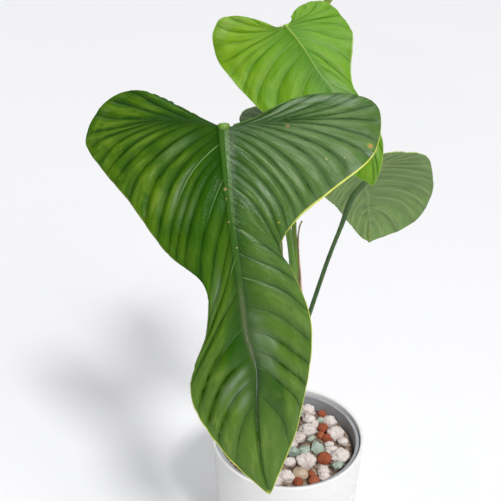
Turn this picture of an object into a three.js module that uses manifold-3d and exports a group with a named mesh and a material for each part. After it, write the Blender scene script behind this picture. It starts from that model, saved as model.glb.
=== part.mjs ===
// Potted philodendron expandilobum, in millimetres. The pot stands on z = 0 with its axis on z,
// and the large leaf hangs down on the -y side.
import * as THREE from 'three';
import Module from 'manifold-3d';

const wasm = await Module();
wasm.setup();

// white outer pot
const potHeight = 130;
const rimRadius = 70;
const baseRadius = 62.7;
const potWall = 3;
const potFloor = 4;

// grey growing pot that stands in it
const innerTop = 126.5;
const innerBaseRadius = 55;
const innerTopRadius = 64.4;
const innerWall = 1.6;
const lipWidth = 4;
const lipHeight = 3;
const drainHoles = 6;
const drainRadius = 4;

// gap that touching pieces keep
const clear = 0.3;

// loose mineral substrate
const bedTop = 115;
const bedBump = 1.6;
const stoneTurns = 260;
// the larger stones in view: x, y and size
const stonesSeen = [
  [26, 57, 13], [46, 36, 13], [22, 35, 12], [34, 34, 8], [46, 15, 15], [52, 4, 9], [32, 13, 8],
  [22, 8, 8], [39, 0, 8], [48, -16, 16], [16, -22, 17], [1, -23, 10], [-3, -42, 14], [31, -34, 11],
  [10, -39, 13], [35, 23, 10], [33, -18, 13], [20, -38, 8], [37, 45, 8],
];

// short stem, which stands in a hole in the substrate
const stemX = 0;
const stemY = 28;
const stemRadius = 9;
const stemBottom = 78;
const stemTop = 152;

// blades: thickness at the margin, extra at the midrib, height of the quilting between veins
const marginThick = 1.1;
const ribExtra = 2.2;
const quiltHeight = 1.5;
const backShare = 0.25;
const fanShare = 0.5;
// length of the largest blade, which has the full height of quilting
const fullLength = 266;

// the leaf stalk meets the blade from below at the sinus
const petioleEndDepth = 1.4;
const petioleBendDepth = 9;
const petioleSteps = 34;

const rad = THREE.MathUtils.degToRad;
const vec = (p) => new THREE.Vector3(...p);

// smooth curve through evenly spaced values, which may be numbers or lists
function through(values, t) {
  const last = values.length - 1;
  const place = THREE.MathUtils.clamp(t, 0, 1) * last;
  const i = Math.min(Math.floor(place), last - 1);
  const w = place - i;
  const at = (k) => values[THREE.MathUtils.clamp(k, 0, last)];
  const blend = (a, b, c, d) => {
    const v0 = (c - a) / 2;
    const v1 = (d - b) / 2;
    return (2 * b - 2 * c + v0 + v1) * w ** 3 + (-3 * b + 3 * c - 2 * v0 - v1) * w ** 2 + v0 * w + b;
  };
  if (typeof values[0] === 'number') return blend(at(i - 1), at(i), at(i + 1), at(i + 2));
  return values[0].map((_, k) => blend(at(i - 1)[k], at(i)[k], at(i + 1)[k], at(i + 2)[k]));
}

// repeatable scatter between 0 and 1
const scatter = (n) => {
  const s = Math.sin(n * 12.9898 + 4.1414) * 43758.5453;
  return s - Math.floor(s);
};

// solids
function toManifold(geometry) {
  const g = geometry.index ? geometry.toNonIndexed() : geometry.clone();
  g.deleteAttribute('normal');
  g.deleteAttribute('uv');
  const pos = g.attributes.position;
  const found = new Map();
  const verts = [];
  const tris = [];
  for (let i = 0; i < pos.count; i += 1) {
    const p = [pos.getX(i), pos.getY(i), pos.getZ(i)];
    const key = p.map((c) => Math.round(c * 1000)).join();
    if (!found.has(key)) {
      found.set(key, verts.length / 3);
      verts.push(...p);
    }
    tris.push(found.get(key));
  }
  const kept = [];
  for (let i = 0; i < tris.length; i += 3) {
    const [a, b, c] = tris.slice(i, i + 3);
    if (a !== b && b !== c && c !== a) kept.push(a, b, c);
  }
  return new wasm.Manifold(new wasm.Mesh({
    numProp: 3,
    vertProperties: new Float32Array(verts),
    triVerts: new Uint32Array(kept),
  }));
}

function fromManifold(solid) {
  const mesh = solid.getMesh();
  const g = new THREE.BufferGeometry();
  g.setAttribute('position', new THREE.BufferAttribute(new Float32Array(mesh.vertProperties), 3));
  g.setIndex(new THREE.BufferAttribute(new Uint32Array(mesh.triVerts), 1));
  return g;
}

// turned solid from [radius, height] points, from the axis round to the axis
function turned(profile, sides) {
  const g = new THREE.LatheGeometry(profile.map(([r, z]) => new THREE.Vector2(r, z)), sides);
  g.rotateX(Math.PI / 2);
  return toManifold(g);
}

function solidFrom(verts, tris) {
  const g = new THREE.BufferGeometry();
  g.setAttribute('position', new THREE.BufferAttribute(new Float32Array(verts.flat()), 3));
  g.setIndex(tris.flat());
  return toManifold(g);
}

// tube through points, its radius changing along it, both ends flat
function tube(points, radii, steps, sides, squash = 1) {
  const curve = new THREE.CatmullRomCurve3(points.map(vec), false, 'centripetal');
  const frames = curve.computeFrenetFrames(steps, false);
  const verts = [];
  const tris = [];
  for (let i = 0; i <= steps; i += 1) {
    const middle = curve.getPointAt(i / steps);
    const radius = through(radii, i / steps);
    for (let k = 0; k < sides; k += 1) {
      const a = (k / sides) * 2 * Math.PI;
      const p = middle.clone()
        .addScaledVector(frames.normals[i], radius * Math.cos(a))
        .addScaledVector(frames.binormals[i], radius * squash * Math.sin(a));
      verts.push(p.toArray());
    }
  }
  for (let i = 0; i < steps; i += 1) {
    for (let k = 0; k < sides; k += 1) {
      const a = i * sides + k;
      const b = i * sides + ((k + 1) % sides);
      tris.push([a, b, b + sides], [a, b + sides, a + sides]);
    }
  }
  const top = steps * sides;
  for (let k = 1; k < sides - 1; k += 1) {
    tris.push([0, k + 1, k], [top, top + k, top + k + 1]);
  }
  return solidFrom(verts, tris);
}

// Margin of the right half and of the left half of a blade: distance from the midrib and distance
// from the sinus toward the tip, as shares of the blade's length. It runs from the sinus over the
// top of the basal lobe, down to the waist, round the front lobe and to the tip.
const marginLeft = [
  [0.105, -0.06], [0.20, -0.101], [0.29, -0.088], [0.34, -0.013], [0.307, 0.06], [0.237, 0.15],
  [0.16, 0.28], [0.083, 0.365], [0.095, 0.48], [0.157, 0.64], [0.115, 0.80], [0, 1],
];
const marginRight = [
  [0.10, -0.03], [0.20, -0.067], [0.31, -0.068], [0.38, -0.03], [0.355, 0.08], [0.24, 0.17],
  [0.15, 0.235], [0.104, 0.30], [0.13, 0.375], [0.152, 0.52], [0.10, 0.77], [0, 1],
];
// the same for a young blade, which is broader for its length
const broadLeft = [
  [0.06, -0.06], [0.15, -0.17], [0.24, -0.24], [0.34, -0.17], [0.395, -0.06], [0.39, 0.08],
  [0.375, 0.20], [0.34, 0.34], [0.30, 0.50], [0.26, 0.66], [0.17, 0.86], [0, 1],
];
const broadRight = [
  [0.06, -0.05], [0.15, -0.12], [0.26, -0.15], [0.345, -0.11], [0.345, 0.03], [0.26, 0.18],
  [0.18, 0.31], [0.11, 0.43], [0.085, 0.55], [0.105, 0.70], [0.085, 0.87], [0, 1],
];
// the third blade shows one very broad half
const fullLeft = [
  [0.06, -0.06], [0.15, -0.15], [0.26, -0.20], [0.38, -0.17], [0.46, -0.05], [0.48, 0.12],
  [0.47, 0.30], [0.44, 0.46], [0.38, 0.61], [0.29, 0.75], [0.16, 0.89], [0, 1],
];

// point of a blade before it is bent: along picks the vein, out runs from the midrib to the margin
function flatPoint(margin, length, along, out) {
  const end = through(margin, along).map((share) => share * length);
  const rise = Math.max(0, (along - fanShare) / (1 - fanShare));
  const start = length * rise ** 1.55;
  const bend = [0.8 * end[0], start + 0.3 * (end[1] - start)];
  const mix = (a, b, c) => (1 - out) ** 2 * a + 2 * out * (1 - out) * b + out ** 2 * c;
  return [mix(0, bend[0], end[0]), mix(start, bend[1], end[1])];
}

// place and upper side's direction of a blade's point once the blade hangs in its pose
function bent(leaf, side, across, down) {
  const t = (down / leaf.length + backShare) / (1 + backShare);
  const tc = THREE.MathUtils.clamp(t, 0, 1);
  const e = 0.001;
  const ahead = vec(through(leaf.spine, Math.min(tc + e, 1)));
  const behind = vec(through(leaf.spine, Math.max(tc - e, 0)));
  const along = ahead.sub(behind).normalize();
  const middle = vec(through(leaf.spine, tc)).addScaledVector(along, (t - tc) * (1 + backShare) * leaf.length);
  const flatSide = new THREE.Vector3().crossVectors(vec(leaf.facing), along).normalize();
  const upper = new THREE.Vector3().crossVectors(along, flatSide);
  const turn = rad(through(leaf.turn, tc));
  const right = flatSide.clone().multiplyScalar(Math.cos(turn)).addScaledVector(upper, Math.sin(turn));
  const face = upper.clone().multiplyScalar(Math.cos(turn)).addScaledVector(flatSide, -Math.sin(turn));
  const lift = rad(through(side > 0 ? leaf.rightLift : leaf.leftLift, tc));
  const curl = rad(leaf.curl) / 100;
  const x = (Math.sin(lift + curl * across) - Math.sin(lift)) / curl;
  const z = -(Math.cos(lift + curl * across) - Math.cos(lift)) / curl;
  const angle = lift + curl * across;
  return {
    point: middle.clone().addScaledVector(right, side * x).addScaledVector(face, z),
    normal: face.clone().multiplyScalar(Math.cos(angle)).addScaledVector(right, -side * Math.sin(angle)),
  };
}

// height of the quilting above the plain blade: ridges between veins, low at midrib and margin
function quilting(leaf, along, out) {
  const phase = along * leaf.veins;
  const ridge = 1 - Math.abs(2 * (phase - Math.floor(phase)) - 1);
  return quiltHeight * (leaf.length / fullLength) * ridge * Math.sin(Math.PI * out ** 0.8);
}

// Closed blade: the same triangles on the upper and the lower side, joined round the edge.
function blade(leaf) {
  const rows = leaf.veins * 2;
  const columns = leaf.columns;
  const upper = [];
  const lower = [];
  const grid = { '-1': [], 1: [] };
  const add = (side, across, down, lift, thick) => {
    const { point, normal } = bent(leaf, side, across, down);
    upper.push(point.clone().addScaledVector(normal, lift).toArray());
    lower.push(point.clone().addScaledVector(normal, lift - thick).toArray());
    return upper.length - 1;
  };
  const middle = [];
  for (let i = 0; i <= rows; i += 1) {
    const [, down] = flatPoint(leaf.margins[1], leaf.length, i / rows, 0);
    const fresh = i === 0 || i / rows > fanShare;
    const thick = marginThick + ribExtra * (1 - 0.85 * (i / rows));
    middle.push(fresh ? add(1, 0, down, 0, thick) : middle[0]);
  }
  for (const side of [-1, 1]) {
    for (let i = 0; i <= rows; i += 1) {
      const row = [middle[i]];
      for (let j = 1; j <= columns && i < rows; j += 1) {
        const out = j / columns;
        const [across, down] = flatPoint(leaf.margins[side], leaf.length, i / rows, out);
        const wave = leaf.wave * Math.sin(i * 0.9 + side) * out ** 3;
        row.push(add(side, across, down, quilting(leaf, i / rows, out) + wave, marginThick));
      }
      if (i === rows) for (let j = 1; j <= columns; j += 1) row.push(middle[rows]);
      grid[side].push(row);
    }
  }
  const faces = [];
  const face = (side, a, b, c) => {
    if (a === b || b === c || c === a) return;
    faces.push(side > 0 ? [a, c, b] : [a, b, c]);
  };
  for (const side of [-1, 1]) {
    for (let i = 0; i < rows; i += 1) {
      for (let j = 0; j < columns; j += 1) {
        const [a, b] = [grid[side][i][j], grid[side][i][j + 1]];
        const [c, d] = [grid[side][i + 1][j], grid[side][i + 1][j + 1]];
        face(side, a, b, d);
        face(side, a, d, c);
      }
    }
  }
  const verts = [...upper, ...lower];
  const shift = upper.length;
  const tris = [];
  const edges = new Map();
  for (const [a, b, c] of faces) {
    tris.push([a, b, c], [a + shift, c + shift, b + shift]);
    for (const [p, q] of [[a, b], [b, c], [c, a]]) {
      if (edges.has(`${q} ${p}`)) edges.delete(`${q} ${p}`);
      else edges.set(`${p} ${q}`, [p, q]);
    }
  }
  for (const [p, q] of edges.values()) {
    tris.push([q, p, p + shift], [q, p + shift, q + shift]);
  }
  return solidFrom(verts, tris);
}

// stone: a dented ball with few faces
function stone(x, y, z, size, seed, detail) {
  const g = new THREE.IcosahedronGeometry(1, detail);
  const pos = g.attributes.position;
  const p = new THREE.Vector3();
  for (let i = 0; i < pos.count; i += 1) {
    p.fromBufferAttribute(pos, i);
    const dent = 0.86 + 0.28 * scatter(Math.round(p.x * 50) + Math.round(p.y * 50) * 7
      + Math.round(p.z * 50) * 13 + seed);
    p.multiplyScalar(dent);
    pos.setXYZ(i, p.x, p.y, p.z);
  }
  g.scale(size / 2, (size / 2) * (0.75 + 0.25 * scatter(seed + 3)), (size / 2) * 0.72);
  g.rotateZ(scatter(seed + 9) * 2 * Math.PI);
  g.translate(x, y, z);
  return toManifold(g);
}

const part = new THREE.Group();
part.name = 'potted_philodendron_expandilobum';

function piece(name, solid, colour, roughness) {
  const material = new THREE.MeshStandardMaterial({ color: colour, roughness, metalness: 0 });
  const mesh = new THREE.Mesh(fromManifold(solid), material);
  mesh.name = name;
  part.add(mesh);
}

// The outer pot is one turned wall and floor with a rounded rim.
const potSides = 72;
const outerAt = (z) => baseRadius + ((rimRadius - baseRadius) * z) / potHeight;
const outerPot = turned([
  [0, 0], [baseRadius - 1.2, 0], [outerAt(1.2), 1.2], [outerAt(potHeight - 1), potHeight - 1],
  [rimRadius - 0.8, potHeight], [rimRadius - potWall + 0.8, potHeight],
  [outerAt(potHeight - 1) - potWall, potHeight - 1], [outerAt(potFloor + 2) - potWall, potFloor + 2],
  [outerAt(potFloor) - potWall - 2, potFloor], [0, potFloor],
], potSides);
piece('cover_pot', outerPot, 0xf1f0ee, 0.35);

// The growing pot stands on the outer pot's floor; its lip turns outward under the white rim.
const innerFoot = potFloor + clear;
const innerAt = (z) => innerBaseRadius
  + ((innerTopRadius - innerBaseRadius) * (z - innerFoot)) / (innerTop - innerFoot);
let innerPot = turned([
  [0, innerFoot], [innerBaseRadius - 1, innerFoot], [innerBaseRadius, innerFoot + 1],
  [innerAt(innerTop - lipHeight), innerTop - lipHeight],
  [innerTopRadius + lipWidth - innerWall - 0.6, innerTop - lipHeight + 0.3],
  [innerTopRadius + lipWidth - innerWall - 0.6, innerTop - 0.8],
  [innerTopRadius + lipWidth - innerWall - 1.4, innerTop],
  [innerTopRadius - innerWall, innerTop], [innerBaseRadius - innerWall, innerFoot + innerWall],
  [0, innerFoot + innerWall],
], potSides);
for (let k = 0; k < drainHoles; k += 1) {
  const a = (k / drainHoles) * 2 * Math.PI;
  const cutter = new THREE.CylinderGeometry(drainRadius, drainRadius, 10, 16);
  cutter.rotateX(Math.PI / 2);
  cutter.translate(40 * Math.cos(a), 40 * Math.sin(a), innerFoot);
  innerPot = innerPot.subtract(toManifold(cutter));
}
piece('grow_pot', innerPot, 0xb3b4b6, 0.55);

// The stem leans a little toward the large leaf, with a ring at each old leaf.
const stemPoints = (extra) => [
  [stemX, stemY, stemBottom - extra], [stemX, stemY, 112], [stemX - 0.5, stemY - 1, 132],
  [stemX - 2, stemY - 3, stemTop + extra],
];
const stemRadii = [6.5, 8.2, stemRadius, 8.6, 9.2, 8.4, 8.8, 7.2, 3.5];
const stemSolid = (extra) => tube(stemPoints(extra), stemRadii.map((r) => r + extra), 24, 16);
piece('stem', stemSolid(0), 0x6f7a45, 0.7);

// Stones lie in rings round a spiral, each sunk into the bed; none lies on the stem.
const bedRadius = innerAt(bedTop) - innerWall - clear;
let bed = turned([
  [0, innerFoot + innerWall + clear], [innerBaseRadius - innerWall - 1, innerFoot + innerWall + clear],
  [bedRadius, bedTop - 3], [bedRadius - 2, bedTop], [0, bedTop],
], 40);
const stemHole = new THREE.CylinderGeometry(stemRadius + 1.2, stemRadius + 1.2, bedTop, 24);
stemHole.rotateX(Math.PI / 2);
stemHole.translate(stemX, stemY, stemBottom - clear + bedTop / 2);
const stones = stonesSeen.map(([x, y, size], i) => {
  const pull = Math.min(1, (bedRadius - 0.8 - 0.58 * size) / Math.hypot(x, y));
  return { x: x * pull, y: y * pull, size, seed: i * 3.7 };
});
const golden = Math.PI * (3 - Math.sqrt(5));
for (let i = 0; i < stoneTurns; i += 1) {
  const size = 9 + 7 * scatter(i + 40);
  const reach = (bedRadius - 0.8 - 0.58 * size) * Math.sqrt((i + 0.5) / stoneTurns);
  const angle = i * golden;
  const x = reach * Math.cos(angle);
  const y = reach * Math.sin(angle);
  const apart = (s) => Math.hypot(s.x - x, s.y - y) > 0.37 * (s.size + size);
  const offStem = Math.hypot(stemX - x, stemY - y) > stemRadius + 1.5 + size / 2;
  if (offStem && stones.every(apart)) stones.push({ x, y, size, seed: i * 5.3 });
}
for (const s of stones) {
  const z = bedTop + 0.1 * s.size + bedBump * scatter(s.seed + 1);
  bed = bed.add(stone(s.x, s.y, z, s.size, s.seed, s.size > 15 ? 1 : 0));
}
bed = bed.subtract(toManifold(stemHole));
piece('substrate', bed, 0xb59a83, 0.9);

// Leaves. The spine is the midrib in space, from a quarter of the length behind the sinus to the tip;
// lifts are the angles of the two halves at the same places, turn rolls the blade about the midrib.
const leaves = [
  {
    name: 'leaf_1',
    length: fullLength,
    veins: 18,
    columns: 8,
    facing: [0, -1, 0.55],
    spine: [[-55, -70, 525], [-51, -110, 472], [-45, -144, 416], [-36, -160, 353], [-29, -166, 289],
      [-21, -168, 222]],
    turn: [0, 0, 0, 0, 0, 0],
    leftLift: [-6, -6, -4, 2, 2, 0],
    rightLift: [-2, -2, 0, 2, 2, 0],
    curl: -14,
    wave: 1.2,
    margins: { '-1': marginLeft, 1: marginRight },
    petiole: [[0, 26, 134], [3, 16, 156], [6, 12, 205], [5, 5, 258], [1, -2, 301], [-4, -14, 345],
      [-14, -38, 394], [-31, -72, 443]],
    petioleRadii: [4.4, 3.6, 3, 2.8, 2.7, 2.6, 2.5, 2.5],
    colour: 0x2f5a22,
  },
  {
    name: 'leaf_2',
    length: 134,
    veins: 14,
    columns: 6,
    facing: [0.15, -1, 0.6],
    spine: [[-27, 0, 529], [-10, -25, 513], [8, -46, 493], [30, -60, 468], [47, -66, 437], [51, -66, 410]],
    turn: [0, 0, 0, 0, 0, 0],
    leftLift: [-6, -6, -6, -6, -6, -6],
    rightLift: [-18, -18, -14, -6, -4, 0],
    curl: -16,
    wave: 0.9,
    margins: { '-1': broadLeft, 1: broadRight },
    petiole: [[3, 29, 141], [10, 27.5, 160], [8, 27, 215], [4.5, 26, 290], [1.8, 25, 333], [-2, 20, 400],
      [-8, 8, 465]],
    petioleRadii: [4, 3.2, 2.5, 2.2, 2.1, 2, 2],
    colour: 0x7fb52a,
  },
  {
    name: 'leaf_3',
    length: 118,
    veins: 12,
    columns: 6,
    facing: [-0.25, 1, 0.6],
    spine: [[53, 33, 393], [59, 54, 374], [65, 72, 351], [71, 88, 327], [76, 101, 301], [79, 109, 273]],
    turn: [0, 0, 0, 0, 0, 0],
    leftLift: [-8, -8, -6, -4, -4, 0],
    rightLift: [-12, -12, -10, -6, -4, 0],
    curl: -16,
    wave: 1,
    margins: { '-1': fullLeft, 1: marginLeft },
    petiole: [[2, 32, 129], [5.5, 41, 149], [9, 41.5, 195], [20, 41, 240], [34, 42, 294], [43, 43, 323],
      [52, 44, 352]],
    petioleRadii: [3.8, 3, 2.3, 2.1, 2, 1.9, 1.9],
    colour: 0x4d7a3a,
  },
  {
    name: 'leaf_4',
    length: 122,
    veins: 12,
    columns: 5,
    facing: [-0.2, 1, 0.75],
    spine: [[1, 44, 439], [-6, 62, 417], [-16, 79, 393], [-26, 92, 368], [-36, 101, 342], [-45, 106, 314]],
    turn: [0, 0, 0, 0, 0, 0],
    leftLift: [-6, -6, -6, -4, -4, 0],
    rightLift: [-6, -6, -6, -4, -4, 0],
    curl: -16,
    wave: 0.8,
    margins: { '-1': marginLeft, 1: marginRight },
    petiole: [[-4.5, 29, 134], [-10.5, 35.5, 152], [-14, 44, 205], [-17, 46, 285], [-14, 46, 350], [-9, 48, 392]],
    petioleRadii: [3.8, 3, 2.3, 2.1, 1.9, 1.8],
    colour: 0x2c5724,
  },
];

for (const leaf of leaves) {
  const top = bent(leaf, 1, 0, 0);
  const end = top.point.clone().addScaledVector(top.normal, -petioleEndDepth);
  const near = end.clone().addScaledVector(top.normal, -petioleBendDepth);
  const path = [...leaf.petiole, near.toArray(), end.toArray()];
  const radii = [...leaf.petioleRadii, 2.6, 2.4];
  const petiole = tube(path, radii, petioleSteps, 8);
  const whole = blade(leaf).add(petiole).subtract(stemSolid(clear));
  piece(leaf.name, whole, leaf.colour, 0.42);
}

// The youngest leaf is still rolled up; its tip leans over to the right above the others.
const rolledPath = [
  [-2, 25.5, 146], [-4.5, 24, 168], [-6, 28, 230], [-9, 33, 310], [-15, 35, 385], [-18, 35, 430],
  [-10, 35, 462], [8, 34, 495], [30, 34, 526], [50, 34, 552],
];
const rolledRadii = [3.4, 2.6, 2.2, 2.1, 2.1, 2.3, 3.2, 3.4, 2.6, 0.8];
piece('new_leaf', tube(rolledPath, rolledRadii, 44, 8).subtract(stemSolid(clear)), 0x9aa05a, 0.5);

// The dry sheath of an earlier leaf stands round the back of the second petiole; its tip curls over.
const sheathPath = [
  [4, 26, 128], [12.6, 27, 138], [15.8, 29, 160], [14, 29.5, 215], [9.4, 28.5, 278], [6, 28, 318],
  [6.6, 27, 332], [8.6, 25.5, 338],
];
const sheathWidth = [5.5, 6, 5.6, 4.8, 4, 3.2, 2.2, 0.7];
function sheath() {
  const curve = new THREE.CatmullRomCurve3(sheathPath.map(vec), false, 'centripetal');
  const steps = 26;
  const across = 4;
  const verts = [];
  const tris = [];
  const inner = new THREE.Vector3(-1, -0.25, 0).normalize();
  for (const layer of [0, 0.8]) {
    for (let i = 0; i <= steps; i += 1) {
      const p = curve.getPointAt(i / steps);
      const along = curve.getTangentAt(i / steps);
      const side = new THREE.Vector3().crossVectors(along, inner).normalize();
      const face = new THREE.Vector3().crossVectors(side, along);
      const half = through(sheathWidth, i / steps);
      for (let k = 0; k <= across; k += 1) {
        const s = (k / across) * 2 - 1;
        const q = p.clone().addScaledVector(side, s * half)
          .addScaledVector(face, 0.4 * half * s * s - layer);
        verts.push(q.toArray());
      }
    }
  }
  const row = across + 1;
  const sheet = (steps + 1) * row;
  for (let i = 0; i < steps; i += 1) {
    for (let k = 0; k < across; k += 1) {
      const a = i * row + k;
      tris.push([a, a + 1, a + row + 1], [a, a + row + 1, a + row]);
      tris.push([a + sheet, a + sheet + row + 1, a + sheet + 1]);
      tris.push([a + sheet, a + sheet + row, a + sheet + row + 1]);
    }
    for (const [a, b] of [[i * row, (i + 1) * row], [(i + 1) * row + across, i * row + across]]) {
      tris.push([a, b, b + sheet], [a, b + sheet, a + sheet]);
    }
  }
  for (let k = 0; k < across; k += 1) {
    const top = steps * row + k;
    tris.push([k + 1, k, k + sheet], [k + 1, k + sheet, k + 1 + sheet]);
    tris.push([top, top + 1, top + 1 + sheet], [top, top + 1 + sheet, top + sheet]);
  }
  return solidFrom(verts, tris);
}
piece('cataphyll', sheath().subtract(stemSolid(clear)), 0xb98a68, 0.85);

export default part;
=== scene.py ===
import math
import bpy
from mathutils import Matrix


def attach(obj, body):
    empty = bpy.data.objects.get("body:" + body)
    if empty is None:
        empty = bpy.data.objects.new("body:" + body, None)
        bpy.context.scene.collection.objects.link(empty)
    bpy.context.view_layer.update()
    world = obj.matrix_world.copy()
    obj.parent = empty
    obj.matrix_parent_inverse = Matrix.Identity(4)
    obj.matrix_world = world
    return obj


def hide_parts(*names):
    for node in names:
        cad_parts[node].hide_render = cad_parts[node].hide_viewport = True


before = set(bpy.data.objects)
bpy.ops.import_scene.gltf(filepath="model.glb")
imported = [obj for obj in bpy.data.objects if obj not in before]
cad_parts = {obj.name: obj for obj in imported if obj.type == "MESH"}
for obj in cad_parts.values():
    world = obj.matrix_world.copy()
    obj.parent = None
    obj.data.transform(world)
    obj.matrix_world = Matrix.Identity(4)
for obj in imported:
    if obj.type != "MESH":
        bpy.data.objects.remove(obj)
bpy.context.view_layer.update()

from types import SimpleNamespace
import bpy
import numpy as np
from mathutils import Matrix, Vector

mm = 0.001
scene = bpy.context.scene


def clearSelection():
    if bpy.context.object and bpy.context.object.mode != "OBJECT":
        bpy.ops.object.mode_set(mode="OBJECT")
    bpy.ops.object.select_all(action="DESELECT")


def pick(*objects):
    clearSelection()
    for obj in objects:
        obj.select_set(True)
    bpy.context.view_layer.objects.active = objects[0]
    return objects[0]


def freshShape(name):
    obj = bpy.context.object
    obj.name = name
    obj.data.name = name
    return obj


def gridSheet(name, columns, rows):      # flat sheet from -1 to 1 each way, to be bent into its form
    clearSelection()
    bpy.ops.mesh.primitive_grid_add(x_subdivisions=columns, y_subdivisions=rows, size=2)
    return freshShape(name)


def joined(name, objects):
    pick(*objects)
    if len(objects) > 1:
        bpy.ops.object.join()
    return freshShape(name)


def applyAll(obj):
    pick(obj)
    for modifier in list(obj.modifiers):
        bpy.ops.object.modifier_apply(modifier=modifier.name)
    return obj


def weld(obj, distance, outward=True):
    pick(obj)
    bpy.ops.object.mode_set(mode="EDIT")
    bpy.ops.mesh.select_all(action="SELECT")
    bpy.ops.mesh.remove_doubles(threshold=distance)
    if outward:
        bpy.ops.mesh.normals_make_consistent(inside=False)
    bpy.ops.object.mode_set(mode="OBJECT")
    return obj


def smoothShade(obj, degrees=180):
    pick(obj)
    bpy.ops.object.shade_smooth_by_angle(angle=math.radians(degrees))
    return obj


def finishPiece(obj, node, materials=()):
    if materials:
        obj.data.materials.clear()
        for material in materials:
            obj.data.materials.append(material)
    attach(obj, "root")
    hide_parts(node)
    return obj


def points(obj):
    co = np.empty(len(obj.data.vertices) * 3)
    obj.data.vertices.foreach_get("co", co)
    return co.reshape(-1, 3)


def setPoints(obj, co):
    obj.data.vertices.foreach_set("co", np.ascontiguousarray(co, np.float32).ravel())
    obj.data.update()


def setFloat(obj, name, values):
    layer = obj.data.attributes.new(name, "FLOAT", "POINT")
    layer.data.foreach_set("value", np.ascontiguousarray(values, np.float32))


def setVector(obj, name, values):
    layer = obj.data.attributes.new(name, "FLOAT_VECTOR", "POINT")
    layer.data.foreach_set("vector", np.ascontiguousarray(values, np.float32).ravel())


def getFloat(obj, name):
    values = np.empty(len(obj.data.vertices), np.float32)
    obj.data.attributes[name].data.foreach_get("value", values)
    return values


def smooth(x, low, high):
    t = np.clip((x - low) / (high - low), 0, 1)
    return t * t * (3 - 2 * t)


scramble = {"turn": 12.9898, "turnAcross": 78.233, "start": 4.1414, "turnBySeed": 3.17, "reach": 43758.5453}


def scatter(n):      # repeatable number from 0 to 1
    s = math.sin(n * scramble["turn"] + scramble["start"]) * scramble["reach"]
    return s - math.floor(s)


def through(values, t):      # smooth curve through evenly spaced values
    values = np.asarray(values, float)
    last = len(values) - 1
    place = np.clip(t, 0, 1) * last
    i = np.minimum(place.astype(int), last - 1)
    w = place - i
    a, b = values[np.clip(i - 1, 0, last)], values[i]
    c, d = values[i + 1], values[np.clip(i + 2, 0, last)]
    if values.ndim > 1:
        w = w[..., None]
    v0, v1 = (c - a) / 2, (d - b) / 2
    return (2 * b - 2 * c + v0 + v1) * w**3 + (3 * c - 3 * b - 2 * v0 - v1) * w**2 + v0 * w + b


def drift(u, v, seed):      # smooth repeatable noise from -1 to 1
    baseU, baseV = np.floor(u), np.floor(v)
    shareU, shareV = u - baseU, v - baseV
    shareU, shareV = shareU**2 * (3 - 2 * shareU), shareV**2 * (3 - 2 * shareV)

    def corner(a, b):
        turn = a * scramble["turn"] + b * scramble["turnAcross"] + seed * scramble["turnBySeed"]
        wave = np.sin(turn) * scramble["reach"]
        return (wave - np.floor(wave)) * 2 - 1

    first = corner(baseU, baseV) * (1 - shareU) + corner(baseU + 1, baseV) * shareU
    second = corner(baseU, baseV + 1) * (1 - shareU) + corner(baseU + 1, baseV + 1) * shareU
    return first * (1 - shareV) + second * shareV


def centripetal(path, count):      # evenly spaced points on a curve through path
    samples = 40
    p = np.asarray(path, float)
    p = np.vstack([2 * p[0] - p[1], p, 2 * p[-1] - p[-2]])
    found = []
    for k in range(1, len(p) - 2):
        before, start, end, after = p[k - 1:k + 3]
        legs = ((before, start), (start, end), (end, after))
        d0, d1, d2 = (max(np.linalg.norm(b - a) ** 0.5, 1e-4) for a, b in legs)
        pull = ((start - before) / d0 - (end - before) / (d0 + d1) + (end - start) / d1) * d1
        push = ((end - start) / d1 - (after - start) / (d1 + d2) + (after - end) / d2) * d1
        w = np.linspace(0, 1, samples, endpoint=k == len(p) - 3)[:, None]
        cubic = 2 * start - 2 * end + pull + push
        square = 3 * end - 3 * start - 2 * pull - push
        found.append(cubic * w**3 + square * w**2 + pull * w + start)
    found = np.vstack(found)
    run = np.concatenate([[0], np.cumsum(np.linalg.norm(np.diff(found, axis=0), axis=1))])
    even = np.linspace(0, run[-1], count)
    return np.stack([np.interp(even, run, found[:, k]) for k in range(3)], 1)


def evenPath(path, steps):      # points on the path, and its direction at each
    centres = centripetal(path, steps + 1)
    ahead = np.gradient(centres, axis=0)
    return centres, ahead / np.linalg.norm(ahead, axis=1, keepdims=True)


# material nodes: a paint is one material with its node tree and its shader
def newPaint(name, roughness=0.5, specular=0.5, coatShare=0.0, coatRoughness=0.2):
    material = bpy.data.materials.new(name)
    material.use_nodes = True
    shader = material.node_tree.nodes["Principled BSDF"]
    shader.inputs["Roughness"].default_value = roughness
    shader.inputs["Specular IOR Level"].default_value = specular
    shader.inputs["Coat Weight"].default_value = coatShare
    shader.inputs["Coat Roughness"].default_value = coatRoughness
    return SimpleNamespace(material=material, tree=material.node_tree, shader=shader)


def wire(paint, value, socket):
    if isinstance(value, bpy.types.NodeSocket):
        paint.tree.links.new(value, socket)
    elif isinstance(value, tuple) and len(value) == 3 and len(socket.default_value) == 4:
        socket.default_value = (*value, 1)
    else:
        socket.default_value = value


def scaled(paint, vector, scale):
    mapping = paint.tree.nodes.new("ShaderNodeMapping")
    mapping.inputs["Scale"].default_value = scale
    wire(paint, vector, mapping.inputs["Vector"])
    return mapping.outputs["Vector"]


def objectPlace(paint, scale=(1, 1, 1)):
    place = paint.tree.nodes.new("ShaderNodeTexCoord")
    return scaled(paint, place.outputs["Object"], scale)


def kept(paint, attribute, output="Fac"):      # value that the mesh keeps at each point
    place = paint.tree.nodes.new("ShaderNodeAttribute")
    place.attribute_name = attribute
    return place.outputs[output]


def surfacePlace(paint, attribute, scale=(1, 1, 1)):
    return scaled(paint, kept(paint, attribute, "Vector"), scale)


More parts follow.
